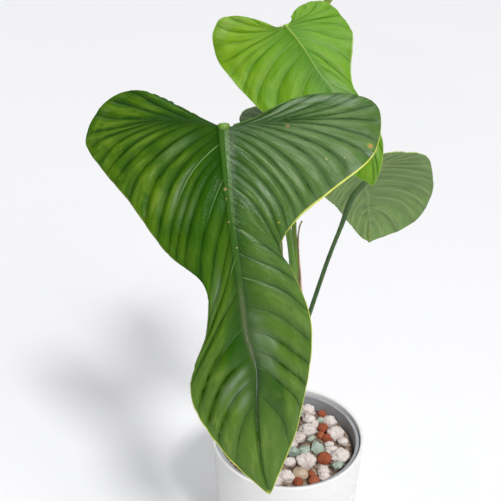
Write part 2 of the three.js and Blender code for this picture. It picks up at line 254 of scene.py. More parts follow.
def noise(paint, vector, scale, detail=3, roughness=0.55, distortion=0.0):
    tex = paint.tree.nodes.new("ShaderNodeTexNoise")
    tex.inputs["Scale"].default_value = scale
    tex.inputs["Detail"].default_value = detail
    tex.inputs["Roughness"].default_value = roughness
    tex.inputs["Distortion"].default_value = distortion
    wire(paint, vector, tex.inputs["Vector"])
    return tex.outputs["Fac"]


def grain(paint, scale, detail=3, roughness=0.55):      # even noise through the whole piece
    return noise(paint, objectPlace(paint), scale, detail, roughness)


def cells(paint, vector, scale, feature="F1"):
    tex = paint.tree.nodes.new("ShaderNodeTexVoronoi")
    tex.feature = feature
    tex.inputs["Scale"].default_value = scale
    wire(paint, vector, tex.inputs["Vector"])
    return tex.outputs["Distance"]


def maths(paint, operation, a, b=0.0):
    node = paint.tree.nodes.new("ShaderNodeMath")
    node.operation = operation
    wire(paint, a, node.inputs[0])
    wire(paint, b, node.inputs[1])
    return node.outputs[0]


def times(paint, a, b):
    return maths(paint, "MULTIPLY", a, b)


def plus(paint, a, b):
    return maths(paint, "ADD", a, b)


def span(paint, value, low, high, outLow=0.0, outHigh=1.0):
    rng = paint.tree.nodes.new("ShaderNodeMapRange")
    rng.interpolation_type = "SMOOTHSTEP"
    for name, number in (("From Min", low), ("From Max", high), ("To Min", outLow), ("To Max", outHigh)):
        rng.inputs[name].default_value = number
    wire(paint, value, rng.inputs["Value"])
    return rng.outputs["Result"]


def blend(paint, amount, first, second):
    mix = paint.tree.nodes.new("ShaderNodeMix")
    mix.data_type = "RGBA"
    wire(paint, amount, mix.inputs["Factor"])
    wire(paint, first, mix.inputs[6])
    wire(paint, second, mix.inputs[7])
    return mix.outputs[2]


def ramp(paint, value, stops):
    band = paint.tree.nodes.new("ShaderNodeValToRGB")
    band.color_ramp.elements[0].position = stops[0][0]
    band.color_ramp.elements[0].color = (*stops[0][1], 1)
    band.color_ramp.elements[1].position = stops[-1][0]
    band.color_ramp.elements[1].color = (*stops[-1][1], 1)
    for position, colour in stops[1:-1]:
        band.color_ramp.elements.new(position).color = (*colour, 1)
    wire(paint, value, band.inputs["Fac"])
    return band.outputs["Color"]


def bumps(paint, height, distance, strength=1.0, under=None):
    bump = paint.tree.nodes.new("ShaderNodeBump")
    bump.inputs["Strength"].default_value = strength
    bump.inputs["Distance"].default_value = distance
    wire(paint, height, bump.inputs["Height"])
    if under is not None:
        wire(paint, under, bump.inputs["Normal"])
    return bump.outputs["Normal"]


def nearSpot(paint, place, centre, radius):      # 1 at a spot's centre, 0 past its edge
    core = 0.55
    away = paint.tree.nodes.new("ShaderNodeVectorMath")
    away.operation = "DISTANCE"
    wire(paint, place, away.inputs[0])
    away.inputs[1].default_value = centre
    return span(paint, away.outputs["Value"], radius * core, radius, 1.0, 0.0)


def finishPaint(paint, colour, normal=None, roughness=None):
    for value, socket in ((colour, "Base Color"), (normal, "Normal"), (roughness, "Roughness")):
        if value is not None:
            wire(paint, value, paint.shader.inputs[socket])
    return paint.material


def shades(colour, *levels):      # the same colour, darker or lighter
    return [tuple(min(1, c * level) for c in colour) for level in levels]


# valley is the dark green for painted shade in the valleys, grooves and along the midrib, and for fine grain
# and the darker margin; ridge is the painted highlight on the ridges
matureLook = {
    "name": "matureBladeUpper",
    "valley": (0.009, 0.044, 0.0006),
    "body": (0.019, 0.080, 0.0006),
    "ridge": (0.036, 0.120, 0.0010),
    "patch": (0.104, 0.210, 0.0010),
    "paintedShade": (0.014, 0.078, 0.0006),
    "brown": (0.150, 0.145, 0.085),
    "vein": (0.170, 0.290, 0.090),
    "rib": (0.056, 0.146, 0.018),
    "paintedSilverSheen": (0.200, 0.270, 0.170),
    "edge": (0.600, 0.650, 0.110),
    "paintedGlow": (0.085, 0.185, 0.008),
    "crestHighlight": (0.150, 0.245, 0.022),
    "roughness": 0.29,
    # side, out, along, radius in mm, core, halo
    "spots": [
        (1, 0.905, 0.357, 1.25, (0.60, 0.24, 0.10), (0.26, 0.30, 0.05)),
        (1, 0.20, 0.376, 1.0, (0.34, 0.17, 0.08), (0.09, 0.14, 0.02)),
        (1, 0.73, 0.43, 0.55, (0.42, 0.44, 0.08), (0.12, 0.20, 0.02)),
        (1, 0.81, 0.407, 0.50, (0.42, 0.44, 0.08), (0.12, 0.20, 0.02)),
        (1, 0.85, 0.60, 0.60, (0.42, 0.44, 0.08), (0.12, 0.20, 0.02)),
        (-1, 0.08, 0.64, 0.9, (0.46, 0.27, 0.14), (0.10, 0.15, 0.03)),
        (-1, 0.09, 0.655, 0.4, (0.50, 0.36, 0.22), (0.10, 0.15, 0.03)),
        (-1, 0.13, 0.688, 0.5, (0.50, 0.38, 0.24), (0.10, 0.15, 0.03)),
        (1, 0.03, 0.735, 0.5, (0.50, 0.38, 0.24), (0.10, 0.15, 0.03)),
    ],
}
youngLook = {
    "name": "youngBladeUpper",
    "valley": (0.050, 0.180, 0.003),
    "paintedShade": (0.080, 0.240, 0.004),
    "brown": (0.200, 0.300, 0.060),
    "body": (0.098, 0.265, 0.007),
    "ridge": (0.128, 0.310, 0.010),
    "patch": (0.235, 0.390, 0.014),
    "vein": (0.250, 0.400, 0.075),
    "rib": (0.240, 0.380, 0.070),
    "paintedSilverSheen": (0.300, 0.420, 0.180),
    "edge": (0.420, 0.560, 0.160),
    "paintedGlow": (0.230, 0.400, 0.012),
    "crestHighlight": (0.260, 0.430, 0.060),
    "roughness": 0.40,
    "spots": [],
}
middleLook = {
    "name": "middleBladeUpper",
    "valley": (0.020, 0.085, 0.010),
    "paintedShade": (0.030, 0.110, 0.010),
    "brown": (0.120, 0.200, 0.060),
    "body": (0.050, 0.165, 0.020),
    "ridge": (0.085, 0.230, 0.030),
    "patch": (0.120, 0.280, 0.020),
    "vein": (0.180, 0.330, 0.090),
    "rib": (0.150, 0.280, 0.070),
    "paintedSilverSheen": (0.300, 0.400, 0.280),
    "edge": (0.350, 0.480, 0.140),
    "paintedGlow": (0.120, 0.220, 0.020),
    "crestHighlight": (0.120, 0.220, 0.050),
    "roughness": 0.40,
    "spots": [],
}


# how strongly each marking shows on the upper side of a blade, and the depth of its relief in metres
upperMarks = {
    "specular": 0.20, "grain": 0.22, "groove": 0.40, "paintedSilverSheen": 0.85, "paintedShade": 0.8, "rimward": 0.40,
    "haze": 0.6,
    "folds": 0.0009, "hatch": 0.00030, "lace": 0.00020, "pores": 0.00006, "veins": 0.0003,
}


def bladeGround(paint, look, ridge, mottled):      # greens with painted shade in the valleys and painted highlights on the ridges, and a painted glow of light through the blade
    veinClouds = noise(paint, surfacePlace(paint, "veinway", (5, 15, 1)), 1.0, 3, 0.5)
    level = plus(paint, times(paint, ridge, 0.7), times(paint, mottled, 0.45))
    # valley colour for painted shade in the valleys, ridge colour for painted highlights on the ridges
    colour = ramp(paint, level, [(0.05, look["valley"]), (0.40, look["body"]), (0.90, look["ridge"])])
    patches = span(paint, veinClouds, 0.46, 0.62, 0, 0.7)
    patches = plus(paint, patches, span(paint, mottled, 0.45, 0.62, 0, 0.4))
    colour = blend(paint, times(paint, patches, kept(paint, "lively")), colour, look["patch"])
    # painted glow: light through the blade, stronger on the ridges
    lit = span(paint, plus(paint, ridge, mottled), 0.5, 1.3, 0.55, 1.0)
    colour = blend(paint, times(paint, kept(paint, "paintedGlow"), lit), colour, look["paintedGlow"])
    # painted shade: darker green in the listed places
    return blend(paint, times(paint, kept(paint, "paintedShade"), upperMarks["paintedShade"]), colour, look["paintedShade"])


def midribColours(paint, look, colour, fineGrain):
    away = kept(paint, "ribAway")
    pale = kept(paint, "ribPale")
    line = times(paint, span(paint, away, 0.70, 1.05, 1.0, 0.0), pale)
    # painted shade: a dark line along the midrib's edge, and a dark line where the midrib lies sunk
    offEdge = maths(paint, "ABSOLUTE", maths(paint, "SUBTRACT", away, 1.2))
    edge = times(paint, span(paint, offEdge, 0.1, 0.4, 0.45, 0.0), pale)
    dark = times(paint, span(paint, kept(paint, "ribAcross"), 0.2, 0.9, 1.0, 0.0), kept(paint, "ribDark"))
    brown = times(paint, kept(paint, "ribBrown"), span(paint, fineGrain, 0.3, 0.6, 0.3, 0.8))
    for amount, tint in ((line, "rib"), (edge, "valley"), (dark, "valley"), (brown, "brown")):
        colour = blend(paint, amount, colour, look[tint])
    return colour


def spotColours(paint, leaf, colour):
    place = surfacePlace(paint, "flat")
    for side, out, along, radius, core, halo in leaf["upper"]["spots"]:
        across, down = flatPlace(leaf, side, np.array([along]), np.array([out]))
        centre = (side * across[0], down[0], 0)
        haze = times(paint, nearSpot(paint, place, centre, radius * 2.4), upperMarks["haze"])
        colour = blend(paint, haze, colour, halo)
        colour = blend(paint, nearSpot(paint, place, centre, radius), colour, core)
    return colour


def bladeUpperPaint(leaf):
    look = leaf["upper"]
    marks = upperMarks
    paint = newPaint(look["name"], look["roughness"], marks["specular"])
    ridge = kept(paint, "ridge")
    mottled = noise(paint, surfacePlace(paint, "veinway", (3.2, 46, 1)), 1.0, 4, 0.6, 0.4)
    fineGrain = grain(paint, 420, 4, 0.6)
    colour = bladeGround(paint, look, ridge, mottled)
    colour = blend(paint, times(paint, fineGrain, marks["grain"]), colour, look["valley"])
    # painted highlights on the ridge crests
    crestHighlight = times(paint, kept(paint, "crestHighlight"), span(paint, mottled, 0.42, 0.62, 0.1, 1.0))
    colour = blend(paint, crestHighlight, colour, look["crestHighlight"])
    # painted sheen: silvery highlight streaks, bands near the margin and broad sheen
    paintedSilverSheen = times(paint, kept(paint, "paintedSilverSheen"), span(paint, mottled, 0.3, 0.7, 0.45, 1.15))
    colour = blend(paint, times(paint, paintedSilverSheen, marks["paintedSilverSheen"]), colour, look["paintedSilverSheen"])

    # painted shade in the sunken vein grooves
    offGroove = maths(paint, "ABSOLUTE", kept(paint, "veinGap"))
    grooveLine = times(paint, span(paint, offGroove, 0.10, 0.60, 1.0, 0.0), kept(paint, "veinShow"))
    colour = blend(paint, times(paint, grooveLine, marks["groove"]), colour, look["valley"])
    offPale = maths(paint, "ABSOLUTE", kept(paint, "paleGap"))
    paleLine = times(paint, span(paint, offPale, 0.18, 0.50, 1.0, 0.0), kept(paint, "paleShow"))
    colour = blend(paint, paleLine, colour, look["vein"])
    colour = midribColours(paint, look, colour, fineGrain)
    colour = blend(paint, times(paint, kept(paint, "rimward"), marks["rimward"]), colour, look["valley"])
    edge = times(paint, span(paint, kept(paint, "outShare"), 0.978, 0.988), kept(paint, "edgeShow"))
    colour = blend(paint, maths(paint, "MAXIMUM", edge, kept(paint, "tipShow")), colour, look["edge"])
    colour = spotColours(paint, leaf, colour)

    folds = noise(paint, surfacePlace(paint, "veinway", (5, 95, 1)), 1.0, 2, 0.5, 0.3)
    hatch = noise(paint, surfacePlace(paint, "flat", (0.20, 1.6, 0)), 1.0, 3, 0.6)
    lace = noise(paint, surfacePlace(paint, "veinway", (60, 300, 1)), 1.0, 2, 0.5)
    pores = cells(paint, objectPlace(paint), 900)
    normal = None
    for name, height in (("folds", folds), ("hatch", hatch), ("lace", lace), ("pores", pores)):
        normal = bumps(paint, height, marks[name], 0.5, normal)
    normal = bumps(paint, maths(paint, "SUBTRACT", paleLine, grooveLine), marks["veins"], 0.6, normal)
    clouds = grain(paint, 22, 3, 0.5)
    shine = span(paint, clouds, 0.3, 0.7, look["roughness"] - 0.05, look["roughness"] + 0.09)
    return finishPaint(paint, colour, normal, shine)


def bladeUnderPaint(name, body, vein):
    paint = newPaint(name, 0.55, specular=0.35)
    mottled = noise(paint, surfacePlace(paint, "veinway", (3, 40, 1)), 1.0, 4, 0.6, 0.3)
    darker, lighter = shades(body, 0.62, 1.35)
    colour = blend(paint, span(paint, mottled, 0.3, 0.7), body, darker)
    colour = blend(paint, times(paint, kept(paint, "ridge"), 0.25), colour, lighter)
    colour = blend(paint, times(paint, kept(paint, "veinFine"), 0.55), colour, vein)
    ribLine = span(paint, kept(paint, "ribAway"), 0.7, 1.1, 0.7, 0.0)
    colour = blend(paint, times(paint, ribLine, kept(paint, "ribPale")), colour, vein)
    net = cells(paint, surfacePlace(paint, "veinway", (30, 130, 1)), 1.0, "DISTANCE_TO_EDGE")
    return finishPaint(paint, colour, bumps(paint, span(paint, net, 0.0, 0.08), 0.00015, 0.5))


def rimPaint(name, colour):
    paint = newPaint(name, 0.45)
    tone = grain(paint, 160)
    tint = blend(paint, span(paint, tone, 0.35, 0.7), colour, shades(colour, 0.7)[0])
    return finishPaint(paint, tint, bumps(paint, tone, 0.0001, 0.5))


def stalkPaint(name, body, shade, blush):
    roughness = 0.42
    paint = newPaint(name, roughness, specular=0.28)
    streaks = noise(paint, objectPlace(paint, (900, 900, 26)), 1.0, 4, 0.6)
    clouds = grain(paint, 28)
    colour = ramp(paint, streaks, [(0.3, shade), (0.55, body), (0.75, shades(body, 1.25)[0])])
    colour = blend(paint, times(paint, span(paint, clouds, 0.48, 0.66), 0.6), colour, blush)
    flecks = span(paint, cells(paint, objectPlace(paint, (520, 520, 210)), 1.0), 0.05, 0.22, 1.0, 0.0)
    pale = tuple(min(1, c * 1.9 + 0.03) for c in body)
    colour = blend(paint, times(paint, flecks, 0.35), colour, pale)
    shine = span(paint, streaks, 0.3, 0.7, roughness - 0.06, roughness + 0.1)
    return finishPaint(paint, colour, bumps(paint, streaks, 0.0002, 0.6), shine)


print("paints ready")


# margin of each half of a blade: distance from the midrib and distance from the sinus toward the tip,
# as shares of the blade's length
marginLeft = [
    (0.105, -0.06), (0.20, -0.101), (0.29, -0.088), (0.34, -0.013), (0.307, 0.06), (0.237, 0.15),
    (0.16, 0.28), (0.083, 0.365), (0.095, 0.48), (0.157, 0.64), (0.115, 0.80), (0, 1),
]
marginRight = [
    (0.10, -0.03), (0.20, -0.067), (0.31, -0.068), (0.38, -0.03), (0.355, 0.08), (0.24, 0.17),
    (0.15, 0.235), (0.104, 0.30), (0.13, 0.375), (0.152, 0.52), (0.10, 0.77), (0, 1),
]
broadLeft = [
    (0.06, -0.06), (0.15, -0.17), (0.24, -0.24), (0.33, -0.19), (0.385, -0.06), (0.38, 0.08),
    (0.365, 0.20), (0.335, 0.34), (0.29, 0.50), (0.235, 0.66), (0.12, 0.84), (0, 0.965),
]
broadRight = [
    (0.06, -0.045), (0.14, -0.092), (0.235, -0.112), (0.315, -0.080), (0.345, 0.02), (0.325, 0.15),
    (0.215, 0.30), (0.11, 0.43), (0.085, 0.55), (0.09, 0.70), (0.045, 0.86), (0, 0.965),
]
fullLeft = [
    (0.06, -0.06), (0.15, -0.15), (0.26, -0.20), (0.38, -0.17), (0.46, -0.05), (0.49, 0.12),
    (0.50, 0.30), (0.50, 0.48), (0.46, 0.65), (0.38, 0.80), (0.21, 0.92), (0, 1),
]
fullRight = [
    (0.105, -0.06), (0.20, -0.10), (0.29, -0.09), (0.34, -0.013), (0.33, 0.08), (0.30, 0.20),
    (0.265, 0.33), (0.235, 0.45), (0.205, 0.58), (0.165, 0.72), (0.10, 0.86), (0, 1),
]
shadedRight = [
    (0.06, -0.07), (0.15, -0.16), (0.25, -0.20), (0.335, -0.15), (0.34, -0.02), (0.27, 0.12),
    (0.18, 0.22), (0.12, 0.31), (0.13, 0.40), (0.152, 0.54), (0.10, 0.77), (0, 1),
]
backShare = 0.25      # part of the blade behind the sinus, against its length
fullLength = 266      # length of the large blade, from the sinus to the tip, in mm
tipTaper = {"at": 0.975, "spread": 0.022}      # where along the margin a blade draws in to its drip tip


def both(value):      # the same for the left and the right half of a blade
    return {-1: value, 1: value}


# where side veins leave the midrib and how they bend, at even steps from the sinus to the tip;
# rib is the end of the thick vein that runs into the basal lobe
leftVeinWay = {
    "rib": (0.165, -0.035),
    "starts": [0, 0, 0, 0, 0, 0, 0.0825, 0.21, 0.355, 0.588, 0.80],
    "bendAcross": [0.6, 0.6, 0.65, 0.75, 0.75, 0.8, 0.8, 0.3, 0.45, 0.8, 0.8],
    "bendDown": [0.6, 0.6, 0.45, 0.2, 0.2, 0.3, 0.3, 0.45, 0.4, 0.3, 0.3],
}
rightVeinWay = {
    "rib": (0.15, -0.010),
    "starts": [0, 0, 0, 0, 0, 0, 0.0825, 0.235, 0.374, 0.588, 0.80],
    "bendAcross": [0.6, 0.6, 0.65, 0.75, 0.75, 0.8, 0.8, 0.5, 0.62, 0.8, 0.8],
    "bendDown": [0.3, 0.4, 0.45, 0.2, 0.2, 0.3, 0.3, 0.3, 0.3, 0.3, 0.3],
}
plainVeinWay = {
    "rib": (0, 0),
    "starts": [0, 0, 0, 0, 0, 0.02, 0.10, 0.22, 0.38, 0.58, 0.80],
    "bendAcross": [0.8] * 11,
    "bendDown": [0.3] * 11,
}

matureLeaf = {
    "name": "matureLeaf", "node": "leaf_1", "slot": "mature_leaf",
    "length": fullLength, "rows": 400, "columns": 50, "thick": 0.9, "wave": 1.2, "waveTurns": 32,
    "drip": {-1: 0.32, 1: 0.10},
    "facing": (0, -1, 0.55), "curl": -14,
    "spine": [(-55, -70, 525), (-51, -110, 472), (-45, -144, 416), (-36, -160, 353), (-29, -166, 289),
              (-21, -168, 222)],
    "lifts": {-1: [-6, -6, -4, 2, 2, 0], 1: [-2, -2, 0, 2, 2, 0]},
    # how far the midrib strays sideways, in mm, at even steps from the sinus to the tip
    "sway": [0, 0, 0, 0, -0.4, -1.2, 2.3, 0, -2.2, -2.6, 0],
    "margins": {-1: marginLeft, 1: marginRight},
    "veinWays": {-1: leftVeinWay, 1: rightVeinWay},
    "veins": {
        -1: [0.045, 0.115, 0.165, 0.215, 0.262, 0.305, 0.345, 0.380, 0.412, 0.452, 0.488, 0.518, 0.546,
             0.567, 0.587, 0.622, 0.662, 0.708, 0.760, 0.812, 0.855, 0.888, 0.917, 0.945],
        1: [0.050, 0.108, 0.157, 0.205, 0.250, 0.295, 0.340, 0.380, 0.418, 0.450, 0.487, 0.520, 0.548,
            0.580, 0.610, 0.637, 0.698, 0.745, 0.788, 0.828, 0.856, 0.880, 0.903, 0.935],
    },
    "puff": {
        -1: [0.5, 1.0, 1.0, 1.2, 1.6, 1.9, 1.2, 0.6, 1.6, 2.6, 0.7],
        1: [0.5, 1.4, 0.7, 0.7, 1.1, 1.2, 0.8, 0.3, 1.0, 2.3, 0.6],
    },
    "paleVeins": {
        -1: [(0.546, 0.05, 0.72, 0.9), (0.622, 0.04, 0.62, 0.6), (0.768, 0.03, 0.30, 0.8),
             (0.855, 0.0, 0.7, 0.3)],
        1: [(0.548, 0.03, 0.40, 0.6), (0.637, 0.04, 0.50, 0.7), (0.698, 0.12, 0.58, 0.9),
            (0.788, 0.03, 0.42, 0.7), (0.903, 0.03, 0.22, 0.6), (0.45, 0.12, 0.4, 0.35),
            (0.38, 0.2, 0.5, 0.3)],
    },
    # painted sheen: silvery highlight streaks along a vein, as its place along, out from, out to, width and
    # strength
    "streaks": {
        -1: [(0.470, 0.12, 0.6, 0.012, 0.35), (0.538, 0.25, 0.8, 0.005, 0.6), (0.560, 0.45, 0.85, 0.006, 0.4),
             (0.580, 0.35, 0.8, 0.005, 0.4), (0.898, 0.05, 0.65, 0.005, 1.2), (0.914, 0.05, 0.60, 0.004, 1.0),
             (0.930, 0.05, 0.45, 0.006, 0.6), (0.700, 0.55, 1.0, 0.014, 0.6), (0.15, 0.8, 1.0, 0.014, 0.4),
             (0.20, 0.75, 1.0, 0.010, 0.3)],
        1: [(0.090, 0.0, 0.9, 0.014, 0.75), (0.140, 0.1, 0.75, 0.012, 0.8), (0.594, 0.32, 0.75, 0.007, 0.7),
            (0.885, 0.0, 0.45, 0.012, 0.6), (0.86, 0.0, 0.45, 0.012, 0.5), (0.838, 0.0, 0.35, 0.010, 0.35)],
    },
    "folds": {-1: [(0.70, 0.07, 0.72, 4.0)], 1: [(0.72, 0.08, 0.72, -5.0)]},
    # dark is painted shade where the midrib lies sunk in a groove
    "rib": {"at": [(3.5, 1.0), (2.5, 0.6), (1.9, -0.1), (1.8, -0.6), (1.3, -1.0), (1.0, -0.8), (0.8, -0.2)],
            "pale": [0.90, 0.75, 0.50, 0.35, 0.05, 0.45, 0.95], "dark": [0, 0, 0, 0.2, 0.9, 0.2, 0]},
    # bands of painted sheen near the margin, and places of painted shade, as shares of out and along
    "paintedMarginSheen": {-1: [(0.68, 0.74, 0.6, 0.95, 0.35)], 1: [(0.05, 0.24, 0.70, 0.90, 0.75)]},
    "paintedShadeSpots": {
        -1: [(0.16, 0.865, 0.20, 0.035, 0.8), (0.5, 0.43, 0.3, 0.015, 0.4), (0.35, 0.60, 0.35, 0.05, 0.8)],
        1: [(0.40, 0.918, 0.25, 0.016, 0.8), (0.50, 0.17, 0.4, 0.025, 0.6), (0.10, 0.62, 0.12, 0.05, 0.4)],
    },
    # strength of the painted highlights on ridge crests, at even steps from the sinus to the tip
    "crestHighlight": {-1: [0.1, 0.3, 0.5, 0.6, 0.65, 0.75, 0.2, 0.2, 0.5, 0.7, 0.6],
              1: [0.1, 0.2, 0.2, 0.25, 0.35, 0.4, 0.25, 0.2, 0.5, 0.65, 0.65]},
    # strength of the painted glow, at even steps from the sinus to the tip
    "paintedGlow": {-1: [0, 0, 0.1, 0.2, 0.2, 0.1, 0, 0.30, 0.65, 0.75, 1.0],
             1: [0.1, 0.15, 0.25, 0.3, 0.35, 0.25, 0.1, 0.30, 0.65, 0.80, 1.0]},
    "lively": {-1: [0.1, 0.3, 0.5, 0.8, 0.9, 0.6, 0.3, 0.4, 0.7, 0.9, 0.9],
               1: [0, 0, 0.1, 0.1, 0.1, 0.1, 0.2, 0.3, 0.7, 0.8, 1.0]},
    # painted greyish sheen, and the pale margin, at even steps from the sinus to the tip
    "paintedSheen": {-1: [0, 0, 0, 0.02, 0.02, 0, 0, 0, 0.03, 0.04, 0.06],
              1: [0.12, 0.16, 0.20, 0.30, 0.32, 0.26, 0.18, 0.20, 0.18, 0.12, 0.10]},
    "paleEdge": {-1: [0, 0, 0, 0, 0.1, 0.1, 0, 0, 0.2, 0.7, 0.9],
                 1: [0, 0, 0, 0.2, 0.9, 0.9, 0.3, 0.3, 0.8, 0.9, 0.9]},
    "upper": matureLook,
    "under": ((0.090, 0.180, 0.040), (0.180, 0.290, 0.090)),
    "rim": (0.07, 0.15, 0.012),
}
youngLeaf = {
    "name": "youngLeaf", "node": "leaf_2", "slot": "young_leaf",
    "length": 134, "rows": 240, "columns": 36, "thick": 0.8, "wave": 0.9, "waveTurns": 25,
    "drip": both(0.2),
    "facing": (0.15, -1, 0.6), "curl": -16,
    "spine": [(-27, 0, 529), (-10, -25, 513), (8, -46, 493), (30, -60, 468), (47, -66, 437), (51, -66, 410)],
    "lifts": {-1: [-6] * 6, 1: [-18, -18, -14, -6, -4, 0]},
    "sway": [0, 0.8, 0.5, -0.5, 0, 0.5, 0, 0, 0, 0, 0],
    "margins": {-1: broadLeft, 1: broadRight},
    "veinWays": both(plainVeinWay),
    "veins": {
        -1: [0.07, 0.15, 0.23, 0.31, 0.38, 0.45, 0.52, 0.59, 0.66, 0.73, 0.80, 0.87, 0.94],
        1: [0.06, 0.14, 0.22, 0.30, 0.37, 0.44, 0.51, 0.58, 0.65, 0.72, 0.80, 0.87, 0.94],
    },
    "puff": both([0.6] * 3 + [0.9] * 8),
    "paleVeins": {
        -1: [(v, 0.0, 0.9, 0.5) for v in (0.15, 0.31, 0.45, 0.59, 0.73, 0.87)],
        1: [(v, 0.0, 0.9, 0.5) for v in (0.14, 0.30, 0.44, 0.58, 0.72, 0.87)],
    },
    "streaks": both([]),
    "folds": {-1: [(0.20, 0.05, 0.72, 3.5), (0.33, 0.04, 0.75, -2.5), (0.47, 0.04, 0.8, 2.0)],
              1: [(0.52, 0.05, 0.75, 2.5), (0.63, 0.05, 0.8, -2.0)]},
    "rib": {"at": [(1.0, 0.5), (0.7, 0.3), (0.55, -0.2), (0.5, -0.4), (0.5, -0.4), (0.5, -0.3), (0.5, -0.1)],
            "pale": [0.9, 0.8, 0.7, 0.6, 0.6, 0.5, 0.4], "dark": [0] * 7},
    "crestHighlight": {-1: [0.3] * 11, 1: [0.15] * 11},
    "paintedGlow": {-1: [0.5] * 5 + [0.25] * 6, 1: [0.1] * 11},
    "paintedMarginSheen": {-1: [(0.1, 0.3, 0.75, 0.95, 0.3)], 1: [(0.75, 0.95, 0.1, 0.8, 0.35)]},
    "paintedShadeSpots": {-1: [(0.5, 0.62, 0.4, 0.03, 0.25)], 1: [(0.5, 0.45, 0.4, 0.12, 0.3)]},
    "lively": {-1: [0.9, 0.9, 0.9, 0.8, 0.7, 0.7, 0.6, 0.5, 0.5, 0.5, 0.5], 1: [0.3] * 11},
    "paintedSheen": {-1: [0] * 11, 1: [0.10] * 11},
    "paleEdge": {-1: [0.4] * 11, 1: [0.3] * 5 + [0.8] * 6},
    "upper": youngLook,
    "under": ((0.250, 0.450, 0.050), (0.400, 0.580, 0.130)),
    "rim": (0.60, 0.74, 0.22),
}
middleLeaf = {
    "name": "middleLeaf", "node": "leaf_3", "slot": "middle_leaf",
    "length": 118, "rows": 216, "columns": 32, "thick": 0.8, "wave": 1.0, "waveTurns": 22,
    "drip": both(0.2),
    "facing": (-0.25, 1, 0.6), "curl": -16,
    "spine": [(53, 33, 393), (59, 54, 374), (65, 72, 351), (71, 88, 327), (76, 101, 301), (79, 109, 273)],
    "lifts": {-1: [-8, -8, -6, -4, -4, 0], 1: [-12, -12, -10, -6, -4, 0]},
    "sway": [0, 0, 0.8, 0, -0.6, 0, 0.6, 0, 0, 0, 0],
    "margins": {-1: fullLeft, 1: fullRight},
    "veinWays": both(plainVeinWay),
    "veins": both([0.07, 0.15, 0.23, 0.31, 0.39, 0.46, 0.53, 0.60, 0.68, 0.76, 0.83, 0.90, 0.95]),
    "puff": both([0.5] * 3 + [0.8] * 8),
    "paleVeins": both([(v, 0.0, 0.9, 0.4) for v in (0.15, 0.31, 0.46, 0.60, 0.76, 0.90)]),
    "streaks": both([]),
    "folds": both([]),
    "rib": {"at": [(2.2, 0.6), (1.8, 0.3), (1.5, -0.2), (1.3, -0.4), (1.2, -0.4), (1.1, -0.3), (1.0, -0.1)],
            "pale": [0.9, 0.7, 0.5, 0.4, 0.4, 0.3, 0.3], "dark": [0] * 7},
    "crestHighlight": both([0.1] * 11),
    "paintedGlow": both([0] * 11),
    "paintedMarginSheen": both([]),
    "paintedShadeSpots": both([]),
    "lively": {-1: [0.6] * 11, 1: [0.4] * 11},
    "paintedSheen": both([0] * 11),
    "paleEdge": both([0.4] * 11),
    "upper": middleLook,
    "under": ((0.185, 0.310, 0.085), (0.320, 0.450, 0.170)),
    "rim": (0.40, 0.52, 0.16),
}
shadedLeaf = dict(
    middleLeaf, name="shadedLeaf", node="leaf_4", slot="shaded_leaf", length=122, wave=0.8,
    facing=(-0.2, 1, 0.75),
    spine=[(1, 44, 439), (-6, 62, 417), (-16, 79, 393), (-26, 92, 368), (-36, 101, 342), (-45, 106, 314)],
    lifts=both([-6, -6, -6, -4, -4, 0]),
    margins={-1: marginLeft, 1: shadedRight}, veinWays={-1: leftVeinWay, 1: plainVeinWay},
    under=((0.085, 0.150, 0.050), (0.140, 0.220, 0.085)),
)


def flatPlace(leaf, side, along, out):      # place of a point on the blade laid flat, in mm
    way, length = leaf["veinWays"][side], leaf["length"]
    end = through(leaf["margins"][side], along) * length
    nearTip = np.exp(-((along - tipTaper["at"]) / tipTaper["spread"]) ** 2)
    end[..., 0] *= 1 - leaf["drip"][side] * nearTip
    lobe = np.clip(1 - np.abs(along - 0.25) / 0.25, 0, 1)
    startAcross = way["rib"][0] * lobe * length
    startDown = through(way["starts"], along) * length
    if way["rib"][0]:
        startDown = np.where(along < 0.5, way["rib"][1] * lobe * (2 - lobe) * length, startDown)
    else:
        startDown = startDown * (along > 0.4)
    bendAcross = startAcross + through(way["bendAcross"], along) * (end[..., 0] - startAcross)
    bendDown = startDown + through(way["bendDown"], along) * (end[..., 1] - startDown)
    keep, turn, reach = (1 - out) ** 2, 2 * out * (1 - out), out**2
    return (keep * startAcross + turn * bendAcross + reach * end[..., 0],
            keep * startDown + turn * bendDown + reach * end[..., 1])


def unit(vectors):
    return vectors / (np.linalg.norm(vectors, axis=-1, keepdims=True) + 1e-12)


def hung(leaf, side, across, down, sway=0):      # a flat point as it hangs, and where its upper side faces
    length, spine = leaf["length"], leaf["spine"]
    t = (down / length + backShare) / (1 + backShare)
    near = np.clip(t, 0, 1)
    step = 0.001
    along = unit(through(spine, np.minimum(near + step, 1)) - through(spine, np.maximum(near - step, 0)))
    middle = through(spine, near) + along * ((t - near) * (1 + backShare) * length)[..., None]
    right = unit(np.cross(np.array(leaf["facing"], float), along))
    face = np.cross(along, right)
    lift = np.radians(through(leaf["lifts"][side], near))
    curl = math.radians(leaf["curl"]) / 100
    angle = lift + curl * across
    x = (np.sin(angle) - np.sin(lift)) / curl
    z = (np.cos(lift) - np.cos(angle)) / curl
    place = middle + right * (side * x + sway)[..., None] + face * z[..., None]
    upward = face * np.cos(angle)[..., None] - right * (side * np.sin(angle))[..., None]
    return place, upward


def gridPlaces(half, rows, columns, side):      # row and column of each point, counted from the midrib
    grid = points(half)
    column = np.rint((grid[:, 0] + 1) * columns / 2).astype(int)
    column = column if side > 0 else columns - column
    return np.rint((1 - grid[:, 1]) * rows / 2).astype(int), column


def mmAcrossVeins(across, down, rows):      # mm on the blade, across the veins, for along from 0 to 1
    outward = unit(np.stack([np.gradient(across, axis=1), np.gradient(down, axis=1)], -1))
    onward = np.stack([np.gradient(across, axis=0), np.gradient(down, axis=0)], -1) * rows
    return np.abs(outward[..., 0] * onward[..., 1] - outward[..., 1] * onward[..., 0])


